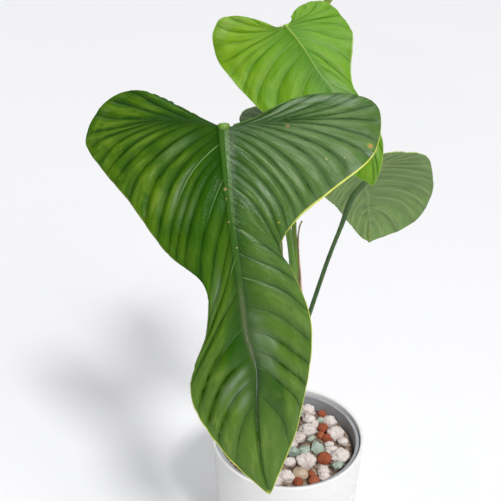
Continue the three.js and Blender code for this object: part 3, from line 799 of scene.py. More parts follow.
# relief shared by all blades: heights in mm, on the large leaf
relief = {
    "vein": 0.34, "veinWidth": 0.9, "unrest": 0.16, "waviness": 0.35, "wander": 0.0045,
    "pillowPower": 0.8, "pillowWidth": 0.036, "underRib": 1.9, "underVein": 0.35,
}


def quilting(leaf, side, grid):      # every strip between two veins is a low pillow
    along, out = grid.along, grid.out
    veins = np.array([0.0] + leaf["veins"][side] + [1.0])
    unrest = np.sin(out * 6 + along * 37 + side)
    grid.wander = along + relief["wander"] * unrest * out * smooth(1 - along, 0, 0.1)
    after = np.clip(np.searchsorted(veins, grid.wander, side="right"), 1, len(veins) - 1)
    low, high = veins[after - 1], veins[after]
    toLow, toHigh = grid.wander - low, high - grid.wander
    grid.pillow = np.sin(np.pi * np.clip(toLow / (high - low), 0, 1)) ** relief["pillowPower"]
    grid.inward = smooth(out, 0.03, 0.42)
    grid.outward = 1 - 0.5 * smooth(out, 0.80, 1.0)
    grid.veinGap = np.where(toLow < toHigh, toLow, -toHigh) * grid.wide
    near = np.minimum(toLow, toHigh) * grid.wide
    grid.veinFine = np.exp(-(near / relief["veinWidth"]) ** 2)
    grid.veinFine *= smooth(out, 0.02, 0.15) * (1 - smooth(out, 0.88, 1.0))

    stripWidth = np.clip((high - low) * grid.wide / (leaf["length"] * relief["pillowWidth"]), 0.1, 1.3)
    uneven = 1 + 0.30 * drift(after * 0.91, out * 3, side) + 0.25 * drift(along * 60, out * 7, side + 4)
    height = through(leaf["puff"][side], along) * stripWidth * uneven
    height *= grid.pillow * grid.inward * grid.outward
    ripple = drift(along * 130, out * 6, side + 9) * grid.inward * (1 - smooth(along, 0.94, 1))
    return height + relief["unrest"] * ripple - relief["vein"] * grid.veinFine * grid.scale


def marginForm(leaf, side, grid):      # gentle waves toward the margin, and margins turned up or down
    along, out = grid.along, grid.out
    height = leaf["wave"] * np.sin(along * leaf["waveTurns"] + side) * out**3 * (1 - smooth(along, 0.93, 1))
    swell = np.sin(grid.across * 0.11 + 1.3) * np.sin(grid.down * 0.083 + side)
    height += relief["waviness"] * swell * smooth(out, 0.1, 0.4) * (1 - smooth(along, 0.9, 1))
    for centre, width, startOut, rise in leaf["folds"][side]:
        inside = np.exp(-((along - centre) / width) ** 2)
        height += rise * inside * (np.clip(out - startOut, 0, 1) / (1 - startOut)) ** 1.6
    return height


def midribMarks(leaf, grid):      # the midrib is high at the sinus and sunk further down
    rib, down, run = leaf["rib"], grid.down, grid.downShare
    shape = through(rib["at"], run)
    body = np.exp(-(grid.across / shape[..., 0]) ** 2) * (1 - smooth(-down, 0, 6))
    bare = smooth(run, 0.34, 0.44) * (1 - smooth(run, 0.54, 0.62))
    marks = {
        "ribAway": grid.across / shape[..., 0],
        "ribAcross": grid.across,
        "ribPale": through(rib["pale"], run) * (1 - smooth(-down, 0, 5)),
        "ribDark": through(rib["dark"], run),
        "ribBrown": 0.8 * np.exp(-(grid.across / 1.7) ** 2) * bare,
        "underRib": relief["underRib"] * body * (1 - 0.8 * run) + relief["underVein"] * grid.veinFine,
    }
    return shape[..., 1] * body, marks


def veinMarks(leaf, side, grid):      # where the side veins show, and which of them are pale
    along, out, wander = grid.along, grid.out, grid.wander
    pales = leaf["paleVeins"][side]
    middles = np.array([v[0] for v in pales])
    closest = np.argmin(np.abs(wander[..., None] - middles), axis=-1)
    paleShow = np.zeros_like(out)
    for k, (_, fromOut, toOut, strength) in enumerate(pales):
        seen = smooth(out, fromOut - 0.02, fromOut + 0.05) * (1 - smooth(out, toOut - 0.25, toOut))
        paleShow = np.where(closest == k, strength * seen, paleShow)
    show = smooth(out, 0.01, 0.12) * (1 - smooth(out, 0.90, 1.0)) * (1 - 0.95 * smooth(along, 0.94, 0.98))
    return {"veinFine": grid.veinFine, "veinGap": grid.veinGap, "veinShow": show,
            "paleGap": (wander - middles[closest]) * grid.wide, "paleShow": paleShow}


def paintedLightAndPatchMarks(leaf, side, grid):      # painted sheen, painted shade in darker places, painted highlights on crests, painted glow, and lively patches
    along, out = grid.along, grid.out
    paintedSilverSheen = np.zeros_like(out)
    for centre, fromOut, toOut, width, strength in leaf["streaks"][side]:
        line = strength * np.exp(-((grid.wander - centre) / width) ** 2)
        line *= smooth(out, fromOut, fromOut + 0.15) * (1 - smooth(out, toOut - 0.25, toOut))
        paintedSilverSheen = np.maximum(paintedSilverSheen, line)
    for lowAlong, highAlong, lowOut, highOut, strength in leaf["paintedMarginSheen"][side]:
        band = smooth(along, lowAlong - 0.03, lowAlong + 0.04)
        band *= 1 - smooth(along, highAlong - 0.05, highAlong + 0.03)
        band *= smooth(out, lowOut - 0.08, lowOut + 0.06) * (1 - smooth(out, highOut - 0.06, highOut + 0.04))
        paintedSilverSheen = np.maximum(paintedSilverSheen, strength * band)
    # painted shade in the listed places
    paintedShade = np.zeros_like(out)
    for centreOut, centreAlong, spreadOut, spreadAlong, strength in leaf["paintedShadeSpots"][side]:
        away = ((out - centreOut) / spreadOut) ** 2 + ((along - centreAlong) / spreadAlong) ** 2
        paintedShade = np.maximum(paintedShade, strength * np.exp(-away ** 1.5))
    paintedSheen = through(leaf["paintedSheen"][side], along) * (0.5 + 0.5 * smooth(out, 0.1, 0.5))
    crestHighlight = smooth(grid.pillow * grid.inward, 0.62, 1.0) * through(leaf["crestHighlight"][side], along) * grid.outward
    return {
        "paintedShade": paintedShade,
        "paintedSilverSheen": np.clip((paintedSilverSheen + paintedSheen) * (1 - paintedShade), 0, 1),
        "crestHighlight": crestHighlight * (1 - 0.7 * paintedShade),
        "paintedGlow": through(leaf["paintedGlow"][side], along) * smooth(out, 0.02, 0.2) * (1 - paintedShade),
        "lively": through(leaf["lively"][side], along) * (0.25 + 0.75 * smooth(out, 0.2, 0.75)),
    }


def halfBlade(leaf, side):
    rows, columns = leaf["rows"], leaf["columns"]
    half = gridSheet(f"{leaf['name']}Half", columns, rows)
    row, column = gridPlaces(half, rows, columns, side)

    along, out = np.meshgrid(np.linspace(0, 1, rows + 1), np.linspace(0, 1, columns + 1), indexing="ij")
    across, down = flatPlace(leaf, side, along, out)
    grid = SimpleNamespace(along=along, out=out, across=across, down=down)
    grid.wide = mmAcrossVeins(across, down, rows)
    grid.downShare = np.clip(down / leaf["length"], 0, 1)
    grid.scale = leaf["length"] / fullLength
    sway = through(leaf["sway"], grid.downShare) * (1 - smooth(across, 0, 28))
    place, upward = hung(leaf, side, across, down, sway)
    height = quilting(leaf, side, grid) + marginForm(leaf, side, grid)
    ribHeight, ribMarks = midribMarks(leaf, grid)
    co = place + upward * (height + ribHeight)[..., None]
    setPoints(half, co[row, column] * mm)

    marks = {
        "ridge": grid.pillow * grid.inward,
        "outShare": out,
        "rimward": smooth(out, 0.955, 1.0),
        "edgeShow": through(leaf["paleEdge"][side], along),
        "tipShow": 0.8 * smooth(grid.downShare, 0.965, 1.0),
    }
    for group in (marks, ribMarks, veinMarks(leaf, side, grid), paintedLightAndPatchMarks(leaf, side, grid)):
        for name, values in group.items():
            setFloat(half, name, values[row, column])
    setVector(half, "veinway", np.stack([out, along, np.full_like(out, side)], -1)[row, column])
    setVector(half, "flat", np.stack([across * side, down, np.zeros_like(out)], -1)[row, column])
    return half


def buildBlade(leaf):
    blade = joined(f"{leaf['name']}Blade", [halfBlade(leaf, -1), halfBlade(leaf, 1)])
    weld(blade, 2e-6, outward=False)
    count = len(blade.data.vertices)
    wall = blade.modifiers.new("wall", "SOLIDIFY")
    wall.thickness = leaf["thick"] * mm
    wall.offset = -1
    wall.material_offset = 1
    wall.material_offset_rim = 2
    materials = [bladeUpperPaint(leaf), bladeUnderPaint(f"{leaf['name']}Under", *leaf["under"]),
                 rimPaint(f"{leaf['name']}Rim", leaf["rim"])]
    for material in materials:
        blade.data.materials.append(material)
    applyAll(blade)
    co = points(blade)      # the upper side's points come first, then those of the underside
    depth = unit(co[count:] - co[:count])
    co[count:] += depth * (getFloat(blade, "underRib")[count:] * leaf["length"] / fullLength * mm)[:, None]
    setPoints(blade, co)
    smoothShade(blade, 65)
    finishPiece(blade, leaf["node"])
    print(f"{blade.name}: {len(blade.data.polygons)} faces")


for leaf in (matureLeaf, youngLeaf, middleLeaf, shadedLeaf):
    buildBlade(leaf)


def sweep(name, shape, section):      # tube along a path; section(around, run) scales its radius
    sides, steps = shape["sides"], shape["steps"]
    tube = gridSheet(name, sides, steps)
    grid = points(tube)
    around = (grid[:, 0] + 1) / 2 % 1.0
    place = np.rint((grid[:, 1] + 1) / 2 * steps).astype(int)
    centres, ahead = evenPath(shape["path"], steps)
    side = np.cross(ahead[0], (0, 1, 0.01))
    carried = []
    for direction in ahead:      # carried along without twisting
        side = side - direction * np.dot(side, direction)
        side /= np.linalg.norm(side)
        carried.append(side)
    across = np.array(carried)
    fronts = np.cross(ahead, across)
    run = place / steps
    angle = around * 2 * np.pi
    radius = through(shape["radii"], run) * section(around, run)
    radius = np.where((place == 0) | (place == steps), 0, radius)
    co = centres[place] + across[place] * (radius * np.cos(angle))[:, None]
    co += fronts[place] * (radius * np.sin(angle))[:, None]
    setPoints(tube, co * mm)
    setVector(tube, "wrap", np.stack([around, run, radius], 1))
    weld(tube, 1e-7)
    return smoothShade(tube)


stalkMesh = {"sides": 28, "steps": 120, "endRadii": [2.6, 2.4], "bend": 9, "inset": 1.4}
stalks = {
    "matureStalk": {
        "leaf": matureLeaf,
        "path": [(0, 26, 134), (3, 16, 156), (6, 12, 205), (5, 5, 258), (1, -2, 301), (-4, -14, 345),
                 (-14, -38, 394), (-31, -72, 443)],
        "radii": [4.4, 3.6, 3, 2.8, 2.7, 2.6, 2.5, 2.5],
        "paint": ((0.105, 0.235, 0.018), (0.050, 0.130, 0.010), (0.150, 0.230, 0.030)),
    },
    "youngStalk": {
        "leaf": youngLeaf,
        "path": [(3, 29, 141), (10, 27.5, 160), (8, 27, 215), (4.5, 26, 290), (1.8, 25, 333), (-2, 20, 400),
                 (-8, 8, 465)],
        "radii": [4, 3.2, 2.5, 2.2, 2.1, 2, 2],
        "paint": ((0.120, 0.260, 0.014), (0.070, 0.160, 0.010), (0.170, 0.200, 0.030)),
    },
    "middleStalk": {
        "leaf": middleLeaf,
        "path": [(2, 32, 129), (5.5, 41, 149), (9, 41.5, 195), (20, 41, 240), (34, 42, 294), (43, 43, 323),
                 (52, 44, 352)],
        "radii": [3.8, 3, 2.3, 2.1, 2, 1.9, 1.9],
        "paint": ((0.060, 0.125, 0.035), (0.030, 0.070, 0.022), (0.075, 0.130, 0.045)),
    },
    "shadedStalk": {
        "leaf": shadedLeaf,
        "path": [(-4.5, 29, 134), (-10.5, 35.5, 152), (-14, 44, 205), (-17, 46, 285), (-14, 46, 350),
                 (-9, 48, 392)],
        "radii": [3.8, 3, 2.3, 2.1, 1.9, 1.8],
        "paint": ((0.050, 0.110, 0.030), (0.026, 0.062, 0.018), (0.070, 0.110, 0.040)),
    },
}


def stalkSection(around, run):      # a shallow channel on the front, and fine grooves all round
    channel = sum(np.exp(-((way % 1.0) / 0.07) ** 2) for way in (around - 0.75, 0.75 - around))
    grooves = 0.02 * np.sin(around * 2 * np.pi * 9)
    return 1 - 0.12 * channel * smooth(run, 0.02, 0.15) + grooves


def bladeBase(leaf, down=0.0):      # a point on the midrib, near the sinus, and the upper side's direction
    place, upward = hung(leaf, 1, np.zeros(1), np.array([down]))
    return place[0], upward[0]


for name, stalk in stalks.items():
    top, upward = bladeBase(stalk["leaf"])
    end = top - upward * stalkMesh["inset"]
    shape = dict(stalkMesh, path=stalk["path"] + [tuple(end - upward * stalkMesh["bend"]), tuple(end)],
                 radii=stalk["radii"] + stalkMesh["endRadii"])
    tube = sweep(name, shape, stalkSection)
    skin = stalkPaint(f"{name}Skin", *stalk["paint"])
    finishPiece(tube, stalk["leaf"]["node"], [skin])


# swollen, bright end of a stalk where it turns into the blade
knees = {
    "matureKnee": {"leaf": matureLeaf, "size": (3.9, 2.6, 2.6), "lift": 0.1, "back": 0.6,
                   "colour": (0.115, 0.235, 0.020)},
    "youngKnee": {"leaf": youngLeaf, "size": (2.2, 1.3, 1.2), "lift": -0.1, "back": 0.4,
                  "colour": (0.230, 0.400, 0.040)},
}


def kneePaint(name, colour):
    paint = newPaint(name, 0.42)
    tone = grain(paint, 240, 4, 0.6)
    dark, light = shades(colour, 0.5, 1.3)
    tint = ramp(paint, tone, [(0.3, dark), (0.5, colour), (0.75, light)])
    return finishPaint(paint, tint, bumps(paint, tone, 0.0002, 0.6))


for name, knee in knees.items():
    leaf = knee["leaf"]
    centre, upward = bladeBase(leaf, -knee["back"])
    ahead = bladeBase(leaf, 4.0)[0] - centre
    ahead /= np.linalg.norm(ahead)
    right = np.cross(ahead, upward)
    clearSelection()
    bpy.ops.mesh.primitive_uv_sphere_add(segments=40, ring_count=24, radius=1)
    ball = freshShape(name)
    co = points(ball)
    # bean form: the ends bend back along the sinus
    wide, long, high = knee["size"]
    across = co[:, :1] * wide
    back = (co[:, 1:2] + 0.30 * co[:, :1] ** 2) * long
    world = centre + upward * knee["lift"] + across * right - back * ahead + co[:, 2:] * high * upward
    setPoints(ball, world * mm)
    weld(ball, 1e-7)
    smoothShade(ball)
    finishPiece(ball, leaf["node"], [kneePaint(f"{name}Skin", knee["colour"])])
print("stalks done")

# the youngest leaf, still rolled round itself
rolledLeaf = {
    "path": [(-2, 25.5, 146), (-4.5, 24, 168), (-6, 28, 230), (-9, 33, 310), (-15, 35, 385), (-18, 35, 430),
             (-10, 35, 462), (8, 34, 495), (30, 34, 526), (50, 34, 552)],
    "radii": [3.4, 2.6, 2.2, 2.1, 2.1, 2.3, 3.2, 3.4, 2.6, 0.8],
    "turns": 1.6, "sides": 40, "steps": 170, "seam": 0.06, "seamRise": 0.22,
    "colours": {"dark": (0.120, 0.170, 0.025), "body": (0.250, 0.330, 0.050), "light": (0.340, 0.420, 0.090),
                "brown": (0.230, 0.170, 0.060)},
}


def rolledSection(around, run):      # the free edge winds round the roll as a small step
    seam = (around + run * rolledLeaf["turns"]) % 1.0
    edge = rolledLeaf["seam"]
    step = np.where(seam < edge, seam / edge, 1 - (seam - edge) / (1 - edge))
    fibres = 0.015 * np.sin(around * 2 * np.pi * 11)
    return 1 + rolledLeaf["seamRise"] * (step - 0.5) * smooth(run, 0.55, 0.68) + fibres


def rolledPaint():
    look = rolledLeaf["colours"]
    paint = newPaint("rolledLeafSkin", 0.42)
    streaks = noise(paint, surfacePlace(paint, "wrap", (9, 60, 0)), 1.0, 4, 0.6)
    colour = ramp(paint, streaks, [(0.3, look["dark"]), (0.6, look["body"]), (0.8, look["light"])])
    colour = blend(paint, span(paint, grain(paint, 14, 2), 0.45, 0.65), colour, look["brown"])
    return finishPaint(paint, colour, bumps(paint, streaks, 0.0002, 0.7))


roll = sweep("rolledLeaf", rolledLeaf, rolledSection)
finishPiece(roll, "new_leaf", [rolledPaint()])

# stem with a ring at each old leaf
stemShape = {
    "path": [(0, 28, 78), (0, 28, 112), (-0.5, 27, 132), (-2, 25, 152)],
    "radii": [6.5, 8.2, 9, 8.6, 9.2, 8.4, 8.8, 7.2, 3.5],
    "rings": [0.50, 0.62, 0.73, 0.83, 0.91], "ringRise": 0.07, "grooveDepth": 0.04, "sides": 48, "steps": 150,
    "colours": {"dark": (0.055, 0.085, 0.020), "body": (0.130, 0.165, 0.040), "brown": (0.230, 0.180, 0.080),
                "scar": (0.290, 0.210, 0.110)},
}


def stemSection(around, run):
    grow = 1 + 0.02 * np.sin(around * 2 * np.pi * 7 + run * 9)
    for k, ring in enumerate(stemShape["rings"]):
        tilt = ring + 0.012 * np.sin(around * 2 * np.pi + k * 2.1)
        grow += stemShape["ringRise"] * np.exp(-((run - tilt) / 0.011) ** 2)
        grow -= stemShape["grooveDepth"] * np.exp(-((run - tilt - 0.022) / 0.012) ** 2)
    return grow


def stemPaint():
    look = stemShape["colours"]
    paint = newPaint("stemBark", 0.62)
    bands = noise(paint, objectPlace(paint, (60, 60, 420)), 1.0, 4, 0.6)
    clouds = grain(paint, 60, 4)
    colour = ramp(paint, clouds, [(0.3, look["dark"]), (0.5, look["body"]), (0.7, look["brown"])])
    colour = blend(paint, span(paint, bands, 0.55, 0.7), colour, look["scar"])
    shine = span(paint, clouds, 0.3, 0.7, 0.5, 0.75)
    return finishPaint(paint, colour, bumps(paint, bands, 0.0005, 0.7), shine)


stem = sweep("stemBody", stemShape, stemSection)
finishPiece(stem, "stem", [stemPaint()])

# dry sheath that an older leaf left behind, curled over at its tip
sheathShape = {
    "path": [(4, 26, 128), (12.6, 27, 138), (15.8, 29, 160), (14, 29.5, 215), (9.4, 28.5, 278), (6, 28, 318),
             (6.6, 27, 332), (8.6, 25.5, 338)],
    "halfWidths": [5.5, 6, 5.6, 4.8, 4, 3.2, 2.2, 0.7],
    "steps": 150, "columns": 24, "thick": 0.5, "cup": 0.4,
    "colours": {"dark": (0.480, 0.290, 0.190), "body": (0.740, 0.540, 0.420), "light": (0.860, 0.700, 0.590),
                "stain": (0.430, 0.220, 0.130)},
}


def sheathPaint():
    look = sheathShape["colours"]
    paint = newPaint("sheathPaper", 0.72, specular=0.3)
    fibres = noise(paint, surfacePlace(paint, "wrap", (16, 3.5, 0)), 1.0, 5, 0.65)
    colour = ramp(paint, fibres, [(0.28, look["dark"]), (0.5, look["body"]), (0.72, look["light"])])
    colour = blend(paint, span(paint, grain(paint, 70, 4), 0.52, 0.68, 0, 0.6), colour, look["stain"])
    return finishPaint(paint, colour, bumps(paint, fibres, 0.0004, 0.8))


def buildSheath():
    shape = sheathShape
    sheet = gridSheet("drySheath", shape["columns"], shape["steps"])
    grid = points(sheet)
    s = grid[:, 0]
    place = np.rint((grid[:, 1] + 1) / 2 * shape["steps"]).astype(int)
    run = place / shape["steps"]
    centres, ahead = evenPath(shape["path"], shape["steps"])
    inner = np.array([-1, -0.25, 0]) / math.hypot(1, 0.25)
    side = np.cross(ahead, inner)
    side /= np.linalg.norm(side, axis=1, keepdims=True)
    face = np.cross(side, ahead)
    half = through(shape["halfWidths"], run)
    crinkle = 0.22 * np.sin(run * 61 + s * 3.1) * np.abs(s) + 0.16 * np.sin(s * 15 + run * 5)
    frayed = half * (1 + 0.06 * np.sin(run * 47 + 2 * s) + 0.04 * np.sin(run * 113))
    rise = shape["cup"] * half * s * s + crinkle - 0.15
    co = centres[place] + side[place] * (s * frayed)[:, None] + face[place] * rise[:, None]
    setPoints(sheet, co * mm)
    setVector(sheet, "wrap", np.stack([s, run, run * 0], 1))
    wall = sheet.modifiers.new("wall", "SOLIDIFY")
    wall.thickness = shape["thick"] * mm
    wall.offset = 0
    applyAll(sheet)
    smoothShade(sheet, 50)
    finishPiece(sheet, "cataphyll", [sheathPaint()])


buildSheath()
print("stem, rolled leaf and sheath done")


# sizes in mm; profile corners are rounded by the radius given for their place in the profile
whitePot = {
    "height": 130, "rim": 70, "base": 62.7, "wall": 3, "floor": 4, "bands": (40, 80), "sides": 160,
    "hollowFoot": {"height": 0.8, "inner": 50, "outer": 52},
    "rounding": {2: 0.6, 3: 1.6, 6: 1.2, 7: 1.2, 10: 3},
    "colours": {"dark": (0.83, 0.83, 0.82), "light": (0.88, 0.88, 0.87), "dust": (0.68, 0.67, 0.64)},
}
greyPot = {
    "top": 126.5, "base": 55, "topRadius": 64.4, "wall": 1.6, "lip": 4, "lipHeight": 3, "foot": 4.3,
    "lipSlope": 0.3, "lipInset": 0.6, "neckInset": 0.25, "middle": (59.6, 62), "sides": 160,
    "rounding": {1: 1.2, 4: 0.5, 5: 0.9, 6: 0.7, 8: 1.5},
    "drain": {"holes": 6, "radius": 4, "ring": 40, "depth": 10, "sides": 32},
    "colours": {"dark": (0.30, 0.31, 0.33), "light": (0.42, 0.43, 0.45), "dust": (0.52, 0.49, 0.46)},
}


def spunPiece(name, profile, sides):      # turns a run of (radius, height) points, in mm, round the z axis
    turned = gridSheet(name, len(profile) - 1, sides)
    grid = points(turned)
    ring = np.rint((grid[:, 0] + 1) / 2 * (len(profile) - 1)).astype(int)
    angle = np.rint((grid[:, 1] + 1) / 2 * sides) % sides / sides * 2 * np.pi
    radius, height = np.array(profile, float)[ring].T
    setPoints(turned, np.stack([radius * np.cos(angle), radius * np.sin(angle), height], 1) * mm)
    weld(turned, 1e-6)
    return turned


def rounded(profile, corner, radius, count=6):      # run of points that takes the place of a corner
    before, at, after = (np.array(profile[corner + k], float) for k in (-1, 0, 1))
    start = at + (before - at) / np.linalg.norm(before - at) * radius
    end = at + (after - at) / np.linalg.norm(after - at) * radius
    t = np.linspace(0, 1, count)[:, None]
    return [tuple(p) for p in (1 - t) ** 2 * start + 2 * t * (1 - t) * at + t**2 * end]


def roundedProfile(profile, radii):
    made = []
    for k, point in enumerate(profile):
        made += rounded(profile, k, radii[k]) if radii.get(k) else [point]
    return made


def whitePotPaint():
    look = whitePot["colours"]
    paint = newPaint("whiteGlaze", 0.26, specular=0.5, coatShare=0.25, coatRoughness=0.15)
    clouds = grain(paint, 9)
    dust = grain(paint, 700)
    colour = ramp(paint, clouds, [(0.35, look["dark"]), (0.65, look["light"])])
    colour = blend(paint, span(paint, dust, 0.66, 0.74, 0, 0.3), colour, look["dust"])
    waves = noise(paint, objectPlace(paint, (1, 1, 2.2)), 16, 2)
    normal = bumps(paint, dust, 0.00005, 0.4, bumps(paint, waves, 0.00004, 0.2))
    return finishPaint(paint, colour, normal, span(paint, clouds, 0.3, 0.7, 0.22, 0.32))


def greyPotPaint():
    look = greyPot["colours"]
    paint = newPaint("greyMoulded", 0.55, specular=0.4)
    dust = grain(paint, 520, 4, 0.6)
    rings = noise(paint, objectPlace(paint, (2, 2, 420)), 1.0, 2)
    colour = ramp(paint, grain(paint, 26), [(0.3, look["dark"]), (0.7, look["light"])])
    colour = blend(paint, span(paint, dust, 0.6, 0.72, 0, 0.5), colour, look["dust"])
    normal = bumps(paint, dust, 0.0001, 0.5, bumps(paint, rings, 0.0002, 0.5))
    return finishPaint(paint, colour, normal, span(paint, dust, 0.3, 0.7, 0.48, 0.62))


def cutAway(obj, cutter):
    hole = obj.modifiers.new("hole", "BOOLEAN")
    hole.operation = "DIFFERENCE"
    hole.object = cutter
    applyAll(obj)
    bpy.data.objects.remove(cutter)


def rod(sides, radius, depth, place):      # upright cylinder for cutting a hole, sizes in mm
    clearSelection()
    bpy.ops.mesh.primitive_cylinder_add(vertices=sides, radius=radius * mm, depth=depth * mm,
                                        location=[v * mm for v in place])
    bpy.ops.object.transform_apply(location=True, rotation=True, scale=True)
    return bpy.context.object


def outerAt(z):
    return whitePot["base"] + (whitePot["rim"] - whitePot["base"]) * z / whitePot["height"]


def buildPots():
    pot, foot = whitePot, whitePot["hollowFoot"]
    height, wall, floor = pot["height"], pot["wall"], pot["floor"]
    low, high = pot["bands"]
    profile = [(0, foot["height"]), (foot["inner"], foot["height"]), (foot["outer"], 0), (pot["base"], 0)]
    profile += [(outerAt(z), z) for z in (low, high, height)]
    profile += [(outerAt(z) - wall, z) for z in (height, high, low, floor)] + [(0, floor)]
    outer = spunPiece("whiteCoverPot", roundedProfile(profile, pot["rounding"]), pot["sides"])
    smoothShade(outer, 40)
    finishPiece(outer, "cover_pot", [whitePotPaint()])

    pot, drain = greyPot, greyPot["drain"]
    wall, foot, top = pot["wall"], pot["foot"], pot["top"]
    lipEdge = pot["topRadius"] + pot["lip"] - wall - pot["lipInset"]
    neck = pot["topRadius"] - pot["neckInset"]
    middle, middleHeight = pot["middle"]
    underLip = top - pot["lipHeight"]
    profile = [(0, foot), (pot["base"], foot), (middle, middleHeight), (neck, underLip),
               (lipEdge, underLip + pot["lipSlope"]), (lipEdge, top), (pot["topRadius"] - wall, top),
               (middle - wall, middleHeight), (pot["base"] - wall, foot + wall), (0, foot + wall)]
    inner = spunPiece("greyGrowPot", roundedProfile(profile, pot["rounding"]), pot["sides"])
    turns = [k / drain["holes"] * 2 * math.pi for k in range(drain["holes"])]
    rods = [rod(drain["sides"], drain["radius"], drain["depth"],
                (drain["ring"] * math.cos(a), drain["ring"] * math.sin(a), foot)) for a in turns]
    cutAway(inner, joined("drainCutter", rods))
    smoothShade(inner, 40)
    finishPiece(inner, "grow_pot", [greyPotPaint()])


buildPots()
print("pots done")


bed = {
    "top": 115, "bump": 1.6, "foot": 6.2, "footRadius": 52.4, "sides": 96, "wallGap": 0.3,
    "edgeDrop": 3, "edgeInset": 2, "innerRings": (45, 25),
    "stemX": 0, "stemY": 28, "stemRadius": 9, "stemFoot": 77.7, "wellGap": 1.2, "wellSides": 48,
    # stones that the photo shows, as x, y and size in mm, and those among them that aren't pumice
    "seen": [(26, 57, 13), (46, 36, 13), (22, 35, 12), (34, 34, 8), (46, 15, 15), (52, 4, 9), (32, 13, 8),
             (22, 8, 8), (39, 0, 8), (48, -16, 16), (16, -22, 17), (1, -23, 10), (-3, -42, 14), (31, -34, 11),
             (10, -39, 13), (35, 23, 10), (33, -18, 13), (20, -38, 8), (37, 45, 8)],
    "kinds": {(35, 23): "clay", (33, -18): "clay", (20, -38): "clay", (32, 13): "clay", (37, 45): "clay",
              (22, 8): "zeolite", (34, 34): "zeolite", (10, -39): "sand"},
    # the other stones: places tried, sizes, and the share of each kind, added up
    "tried": 260, "small": 9, "spread": 7,
    "shares": ((0.60, "pumice"), (0.80, "clay"), (0.91, "zeolite"), (1, "sand")),
    "colours": {"dark": (0.07, 0.045, 0.030), "body": (0.20, 0.14, 0.10), "light": (0.42, 0.34, 0.28)},
}
bedWiden = (greyPot["topRadius"] - greyPot["base"]) / (greyPot["top"] - greyPot["foot"])
bedRadius = greyPot["base"] + bedWiden * (bed["top"] - greyPot["foot"]) - greyPot["wall"] - bed["wallGap"]


def reachOf(size):      # how far from the middle a stone of this size can lie
    return bedRadius - 0.8 - 0.58 * size


def bedStones():
    stones = []
    for i, (x, y, size) in enumerate(bed["seen"]):
        pull = min(1, reachOf(size) / math.hypot(x, y))
        stones.append((x * pull, y * pull, size, i * 3.7, bed["kinds"].get((x, y), "pumice")))
    golden = math.pi * (3 - math.sqrt(5))
    for i in range(bed["tried"]):
        size = bed["small"] + bed["spread"] * scatter(i + 40)
        away = reachOf(size) * math.sqrt((i + 0.5) / bed["tried"])
        x, y = away * math.cos(i * golden), away * math.sin(i * golden)
        fromStem = math.hypot(bed["stemX"] - x, bed["stemY"] - y)
        clear = fromStem > bed["stemRadius"] + 1.5 + size / 2
        if clear and all(math.hypot(s[0] - x, s[1] - y) > 0.37 * (s[2] + size) for s in stones):
            drawn = scatter(i * 1.7 + 11)
            kind = next(kind for share, kind in bed["shares"] if drawn < share)
            stones.append((x, y, size, i * 5.3, kind))
    return stones


# lumps and pits as strength and size, level as the fineness of the ball, middle as the place of the
# second colour between the dark and the light one
stoneKinds = {
    "pumice": {"lumps": (0.30, 0.55), "pits": (0.10, 0.20), "level": 4, "flat": 0.80, "middle": 0.48,
               "colours": ((0.42, 0.33, 0.29), (0.70, 0.62, 0.58), (0.86, 0.81, 0.78))},
    "clay": {"lumps": (0.14, 0.9), "pits": (0.03, 0.25), "level": 4, "flat": 0.92, "middle": 0.5,
             "colours": ((0.16, 0.040, 0.018), (0.33, 0.085, 0.038), (0.46, 0.160, 0.085))},
    "zeolite": {"lumps": (0.50, 0.8), "pits": (0.04, 0.3), "level": 3, "flat": 0.75, "middle": 0.5,
                "colours": ((0.20, 0.27, 0.21), (0.38, 0.47, 0.39), (0.58, 0.66, 0.58))},
    "sand": {"lumps": (0.26, 0.7), "pits": (0.05, 0.3), "level": 4, "flat": 0.80, "middle": 0.5,
             "colours": ((0.30, 0.20, 0.13), (0.52, 0.39, 0.28), (0.68, 0.56, 0.44))},
}
stoneModels = {"variants": 3, "cuts": 5, "cutAt": 0.72}


def stonePaint(kind):
    dark, body, light = stoneKinds[kind]["colours"]
    paint = newPaint(f"{kind}Stone", 0.85, specular=0.25)
    fine = grain(paint, 900, 5, 0.65)
    pores = cells(paint, objectPlace(paint), 750)
    tone = plus(paint, times(paint, grain(paint, 130, 4, 0.6), 0.6), times(paint, fine, 0.4))
    colour = ramp(paint, tone, [(0.30, dark), (stoneKinds[kind]["middle"], body), (0.72, light)])
    # pits darkened: painted shade in the pores
    colour = blend(paint, span(paint, pores, 0.0, 0.22, 0.55, 0.0), colour, dark)
    return finishPaint(paint, colour, bumps(paint, pores, 0.0004, 0.6, bumps(paint, fine, 0.0005, 0.7)))


